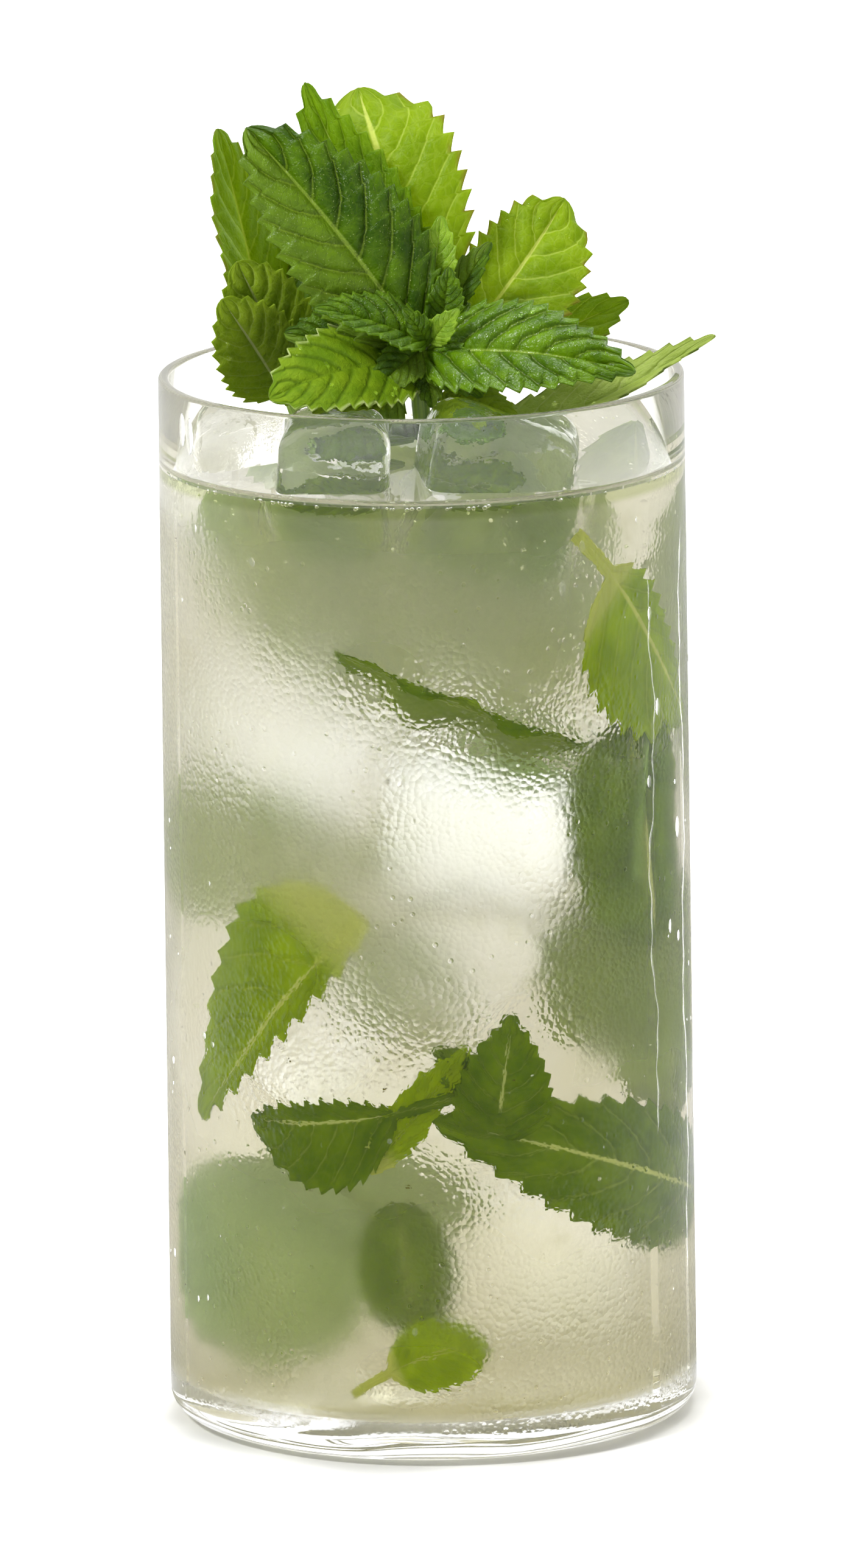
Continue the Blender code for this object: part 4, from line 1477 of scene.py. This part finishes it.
@dataclass
class Afloat:
    """Specks of one kind afloat in the drink, most of them near the glass: sizes in millimetres."""

    name: str
    count: int
    seed: int
    small: float
    large: float
    long: float
    low: float
    high: float

    INNER = 35.9

    def build(self, material: bpy.types.Material) -> bpy.types.Object:
        """Places and joins the specks.

        Args:
            material: the specks' finish.

        Returns:
            The joined piece.
        """
        draw = random.Random(self.seed)
        spots = []
        for _ in range(self.count):
            turn, depth = draw.uniform(0, math.tau), 6.0 * draw.random() ** 2.5
            size = self.small + (self.large - self.small) * draw.random() ** 2
            place = around(turn, self.INNER - size * self.long - depth, draw.uniform(self.low, self.high))
            lean = draw.uniform(0, math.tau)
            axis = (draw.random(), draw.random(), draw.random() + 0.1)
            spots.append((place, Matrix.Rotation(lean, 3, axis), (size * self.long, size, size * 0.6)))
        return Bench.strew(self.name, spots, 1, material, "drink")


AFLOAT = (
    Afloat("pulp_pale", 500, 21, 0.1, 0.3, 1.2, 14, 139),
    Afloat("pulp_fizz", 420, 24, 0.12, 0.34, 1.1, 96, 139),
    Afloat("pulp_threads", 70, 22, 0.1, 0.22, 5.0, 10, 120),
)
CRUMBS = Afloat("leaf_crumbs", 170, 23, 0.1, 0.3, 1.8, 12, 128)


@dataclass
class Drops:
    """Water drops on the glass's outer wall, some long, some round.

    A placed drop is its turn from the front in degrees, and its height, half width and half height
    in millimetres.
    """

    count: int = 90
    seed: int = 31
    placed: tuple[tuple[float, float, float, float], ...] = (
        (-64.5, 148.0, 0.8, 2.5), (-61.0, 147.4, 1.0, 2.7), (31.3, 127.3, 0.55, 1.2), (36.5, 133.0, 0.5, 0.9),
        (58.0, 121.0, 0.5, 1.1), (61.0, 107.0, 0.6, 1.3), (57.0, 96.5, 0.5, 0.9), (71.0, 88.0, 0.7, 1.6),
        (66.0, 74.0, 0.5, 1.1), (-40.0, 131.0, 0.5, 0.7))

    LIFT = 0.02

    def build(self, material: bpy.types.Material) -> bpy.types.Object:
        """Places and joins the drops: those that stand out, then scattered ones.

        Args:
            material: the water's finish.

        Returns:
            The joined piece.
        """
        draw = random.Random(self.seed)
        every = list(self.placed)
        for _ in range(self.count):
            wide = 0.14 + 0.36 * draw.random() ** 2
            every.append((draw.uniform(0, 360), draw.uniform(16, 139), wide, wide * draw.uniform(1, 1.9)))
        spots = []
        for angle, z, wide, tall in every:
            turn = math.radians(angle)
            place = around(turn, Tumbler().radius(z) + self.LIFT, z)
            spots.append((place, Matrix.Rotation(turn, 3, "Z"), (wide, 0.32 * wide, tall)))
        return Bench.strew("water_drops", spots, 3, material, "glass", half=True)


@dataclass(frozen=True)
class Rivulet:
    """A run of water down the outer wall, in millimetres: around the wall, its ends and its width."""

    name: str
    arc: float
    top: float
    foot: float
    width: float
    seed: float

    RINGS = 140
    SIDES = 12
    RISE = 0.14

    def build(self, material: bpy.types.Material) -> bpy.types.Object:
        """Shapes and dresses the run: a low rounded bead that wanders and swells on its way.

        Args:
            material: the water's finish.

        Returns:
            The finished piece.
        """
        glass = Tumbler()
        z = np.linspace(self.foot, self.top, self.RINGS)
        share = (z - self.foot) / (self.top - self.foot)
        sway = sum(size * np.sin(z * pace + start * self.seed)
                   for size, pace, start in ((0.8, 0.13, 1.0), (0.34, 0.41, 2.1), (0.14, 1.1, 3.7)))
        swell = (0.62 + 0.3 * np.sin(z * 0.83 + self.seed) * np.sin(z * 0.19 + self.seed)
                 + 0.3 * np.exp(-((share - 0.03) / 0.02) ** 2))
        ends = np.clip(np.minimum(share, 1 - share) * 30, 0.15, 1)
        wide = self.width / 2 * np.clip(swell, 0.25, 1.2) * ends
        angle = (self.arc + sway) / glass.rim_radius
        out = np.stack([np.sin(angle), -np.cos(angle), 0 * z], axis=-1)
        over = np.stack([np.cos(angle), np.sin(angle), 0 * z], axis=-1)
        middle = out * (glass.radius(z) + Drops.LIFT)[:, None] + np.stack([0 * z, 0 * z, z], axis=-1)
        turn = np.linspace(0, math.tau, self.SIDES + 1)
        side, up = np.cos(turn)[None, :, None], np.maximum(0, np.sin(turn))[None, :, None]
        wide = wide[:, None, None]
        rows = middle[:, None] + over[:, None] * side * wide + out[:, None] * up * self.RISE * wide
        return Bench.finish(Bench.tube(self.name, rows), self.name, [material], "glass", angle=70)


RIVULETS = (
    Rivulet("rivulet_right", 38.6, 127.0, 44.0, 0.6, 0.6),
    Rivulet("rivulet_edge", 50.0, 132.0, 20.0, 0.8, 2.2),
    Rivulet("rivulet_back", 97.0, 121.0, 62.0, 0.6, 5.1),
    Rivulet("rivulet_back_left", -88.0, 128.0, 71.0, 0.6, 1.4),
)


@dataclass
class Dew:
    """Small drops of water that stand on the mint: how many on which leaf."""

    seed: int = 41
    leaves: tuple[tuple[str, int], ...] = (
        ("leaf_front_left", 16), ("leaf_right_front", 34), ("leaf_right_upper", 16), ("leaf_front_low", 14),
        ("leaf_front_small", 8), ("leaf_left_lower", 10), ("leaf_back_centre", 8), ("leaf_far_right", 8),
        ("leaf_bud_top", 4))

    LIFT = 0.16

    def build(self, material: bpy.types.Material) -> bpy.types.Object:
        """Places and joins the drops.

        Args:
            material: the water's finish.

        Returns:
            The joined piece.
        """
        draw = random.Random(self.seed)
        leaf_of = {leaf.name: leaf for leaf in SPRIG}
        spots = []
        for name, count in self.leaves:
            grid = leaf_of[name].middle_surface()
            face = np.array(leaf_of[name].face, float)
            for _ in range(count):
                row = draw.randrange(8, grid.shape[0] - 8)
                column = draw.randrange(4, grid.shape[1] - 4)
                normal = unit(np.cross(grid[row + 1, column] - grid[row - 1, column],
                                       grid[row, column + 1] - grid[row, column - 1]))
                normal = normal if normal.dot(face) > 0 else -normal
                size = 0.14 + 0.34 * draw.random() ** 2.5
                place = Vector(grid[row, column] + normal * self.LIFT)
                turn = Vector(normal).to_track_quat("Z", "Y").to_matrix()
                spots.append((place, turn, (size, size, size * 0.6)))
        return Bench.strew("dew", spots, 2, material, "leaf_upper")


@dataclass(frozen=True)
class Lamp:
    """A square soft lamp that faces the glass: its place and size in metres and its watts.

    One that isn't seen stays out of what shows through the glass and out of the cloud.
    """

    name: str
    place: Spot
    size: float
    watts: float
    seen: bool = True

    AIM = (0.0, 0.0, 0.1)

    def build(self, spared: bpy.types.Collection) -> None:
        """Sets up the lamp.

        Args:
            spared: what it doesn't light.
        """
        data = bpy.data.lights.new(self.name, "AREA")
        data.size, data.energy = self.size, self.watts
        lamp = bpy.data.objects.new(self.name, data)
        bpy.context.scene.collection.objects.link(lamp)
        lamp.location = self.place
        lamp.rotation_euler = (Vector(self.AIM) - lamp.location).to_track_quat("-Z", "Y").to_euler()
        lamp.visible_camera = False
        lamp.visible_transmission = lamp.visible_volume_scatter = self.seen
        lamp.light_linking.receiver_collection = spared


@dataclass
class Studio:
    """A plain pale floor, a soft white room and the camera at the photograph's angle.

    The room's strength depends on how light comes to it: as matt light in the air (soft) or in the
    drink (glow), from inside the drink (inside), straight through the glass (behind and front), or
    mirrored by it (mirrored and mirrored_front). Shade_from and shade_to are the reach in metres of
    the soft shadow painted on the floor round the foot.
    """

    soft: float = 0.42
    glow: float = 1.2
    inside: float = 3.4
    behind: float = 1.24
    front: float = 1.0
    mirrored: float = 0.9
    mirrored_front: float = 0.1
    backdrop: float = 1.1
    drop: float = 0.6
    shade_from: float = 0.042
    shade_to: float = 0.056
    lamps: tuple[Lamp, ...] = (
        Lamp("key", (-1.1, -0.9, 1.5), 0.35, 52.0, seen=False), Lamp("top", (0.2, 0.5, 1.7), 0.8, 20.0),
        Lamp("back", (0.9, 1.2, 0.8), 0.9, 16.0), Lamp("fill", (1.2, -0.8, 0.6), 0.6, 2.5))

    FLOOR_SIZE = 9
    LENS, SENSOR = 348.93, 36.0
    EYE = (-0.62, -2159.28, 551.10)
    TILT, ROLL = 78.0, -0.742

    def build(self) -> None:
        """Sets up the floor, the light and the camera."""
        self.floor()
        self.room()
        self.light()
        self.camera()
        cycles = bpy.context.scene.cycles
        cycles.max_bounces, cycles.transmission_bounces, cycles.glossy_bounces = 24, 20, 14
        cycles.diffuse_bounces, cycles.volume_bounces, cycles.transparent_max_bounces = 3, 5, 20
        cycles.caustics_reflective = cycles.caustics_refractive = True
        cycles.sample_clamp_indirect = 12
        cycles.use_denoising = True
        bpy.context.scene.view_settings.view_transform = "Standard"

    def floor(self) -> None:
        """A wide pale floor, with a soft shadow painted round the foot, that fades into the room."""
        Bench.take(None)
        bpy.ops.mesh.primitive_plane_add(size=self.FLOOR_SIZE, location=(0, 0, -self.drop * MM))
        piece = bpy.context.object
        piece.name = "floor"
        s = Shade("floor_pale")
        tone = s.blend(s.noise(3.0, 2.0), (247, 247, 246), (250, 250, 250))
        x, y, _ = s.parts(s.place)
        far = s.length(x, y)
        # Painted shadow: the floor's colour is darkened to grey in a ragged ring round the foot.
        patch = s.line(s.noise(26.0, 2.0), 0.016, far)
        under = s.times(s.reach(patch, self.shade_from, self.shade_to, 0.75, 0.0),
                        s.reach(far, 0.026, 0.037))
        tone = s.blend(under, tone, (128, 128, 124))
        s.dress(Base_Color=tone, Roughness=0.6, Specular_IOR_Level=0.0, Emission_Color=tone,
                Emission_Strength=s.reach(far, 0.7, 2.4, 0.3, self.backdrop))
        s.material.cycles.emission_sampling = "NONE"
        piece.data.materials.append(s.material)
        piece.visible_glossy = False

    def room(self) -> None:
        """A white room, brighter behind the glass than in front of it."""
        world = bpy.data.worlds.new("room")
        bpy.context.scene.world = world
        world.use_nodes = True
        world.cycles.sampling_method = "NONE"
        s = Sums(world.node_tree)
        ray = s.add("LightPath", {}).outputs
        back = s.reach(s.parts(s.add("TexCoord", {}).outputs["Generated"])[1], -0.5, 0.3)
        diffuse, through = ray["Is Diffuse Ray"], ray["Is Transmission Ray"]
        after = s.sum("GREATER_THAN", ray["Diffuse Depth"], 0.5)
        seen = s.times(ray["Is Camera Ray"], self.backdrop)
        matt = s.times(diffuse, s.line(through, self.glow - self.soft, self.soft))
        inner = s.times(s.times(after, s.less(1.0, diffuse)), self.inside)
        beyond = s.line(back, self.behind - self.front, self.front)
        mirror = s.line(back, self.mirrored - self.mirrored_front, self.mirrored_front)
        shine = s.times(ray["Is Glossy Ray"], s.less(1.0, through))
        outer = s.times(s.less(1.0, s.sum("MAXIMUM", after, diffuse)),
                        s.line(through, beyond, s.times(shine, mirror)))
        total = s.plus(s.plus(seen, matt), s.plus(inner, outer))
        sky = world.node_tree.nodes["Background"].inputs
        sky["Color"].default_value = (1, 1, 1, 1)
        s.put(sky["Strength"], total)

    def light(self) -> None:
        """The lamps, which light all but the outer wall and the water on it."""
        spared = bpy.data.collections.new("spared")
        for name in ("tumbler", "water_drops", *(rivulet.name for rivulet in RIVULETS)):
            spared.objects.link(bpy.data.objects[name])
        for member in spared.collection_objects:
            member.light_linking.link_state = "EXCLUDE"
        for lamp in self.lamps:
            lamp.build(spared)

    def camera(self) -> None:
        """The camera, a little above the glass and tilted down to it."""
        data = bpy.data.cameras.new("camera")
        data.lens, data.sensor_width = self.LENS, self.SENSOR
        data.clip_start, data.clip_end = 0.05, 40
        piece = bpy.data.objects.new("camera", data)
        bpy.context.scene.collection.objects.link(piece)
        turn = (Matrix.Rotation(math.radians(self.TILT), 4, "X")
                @ Matrix.Rotation(math.radians(self.ROLL), 4, "Z"))
        piece.matrix_world = Matrix.Translation(Vector(self.EYE) * MM) @ turn
        bpy.context.scene.camera = piece


def main() -> None:
    """Builds every piece and then the studio."""
    logging.basicConfig(level=logging.INFO, format="%(name)s: %(message)s")
    glass = GlassFinish()
    Tumbler().build(glass.clear(), glass.misted(), glass.wetted(), glass.thick())
    Drink().build(DrinkFinish().make())
    ice = IceFinish()
    dry, wet = ice.make("ice_dry", ice.index), ice.make("ice_wet", ice.index / DrinkFinish.INDEX)
    for cube in ICE + SUNK_ICE:
        cube.build(dry, wet)
    leaves = {kind: finish.make(kind.value) for kind, finish in LEAF_FINISHES.items()}
    for leaf in SPRIG + TUFT + SUNK_MINT:
        leaf.build(leaves)
    stem = StemFinish().make()
    for piece in STEMS + SUNK_STEMS:
        piece.build(stem)
    Bubbles().build(BeadFinish("bubble_clear", 1 / DrinkFinish.INDEX).make())
    pulp = SpeckFinish((240, 242, 220), (214, 218, 170)).make("pulp")
    for specks in AFLOAT:
        specks.build(pulp)
    CRUMBS.build(SpeckFinish((150, 144, 70), (92, 84, 30)).make("leaf_crumb"))
    water = BeadFinish("water_clear", 1.33).make()
    Drops().build(water)
    for rivulet in RIVULETS:
        rivulet.build(water)
    Dew().build(water)
    Studio().build()


if __name__ == "__main__":
    main()
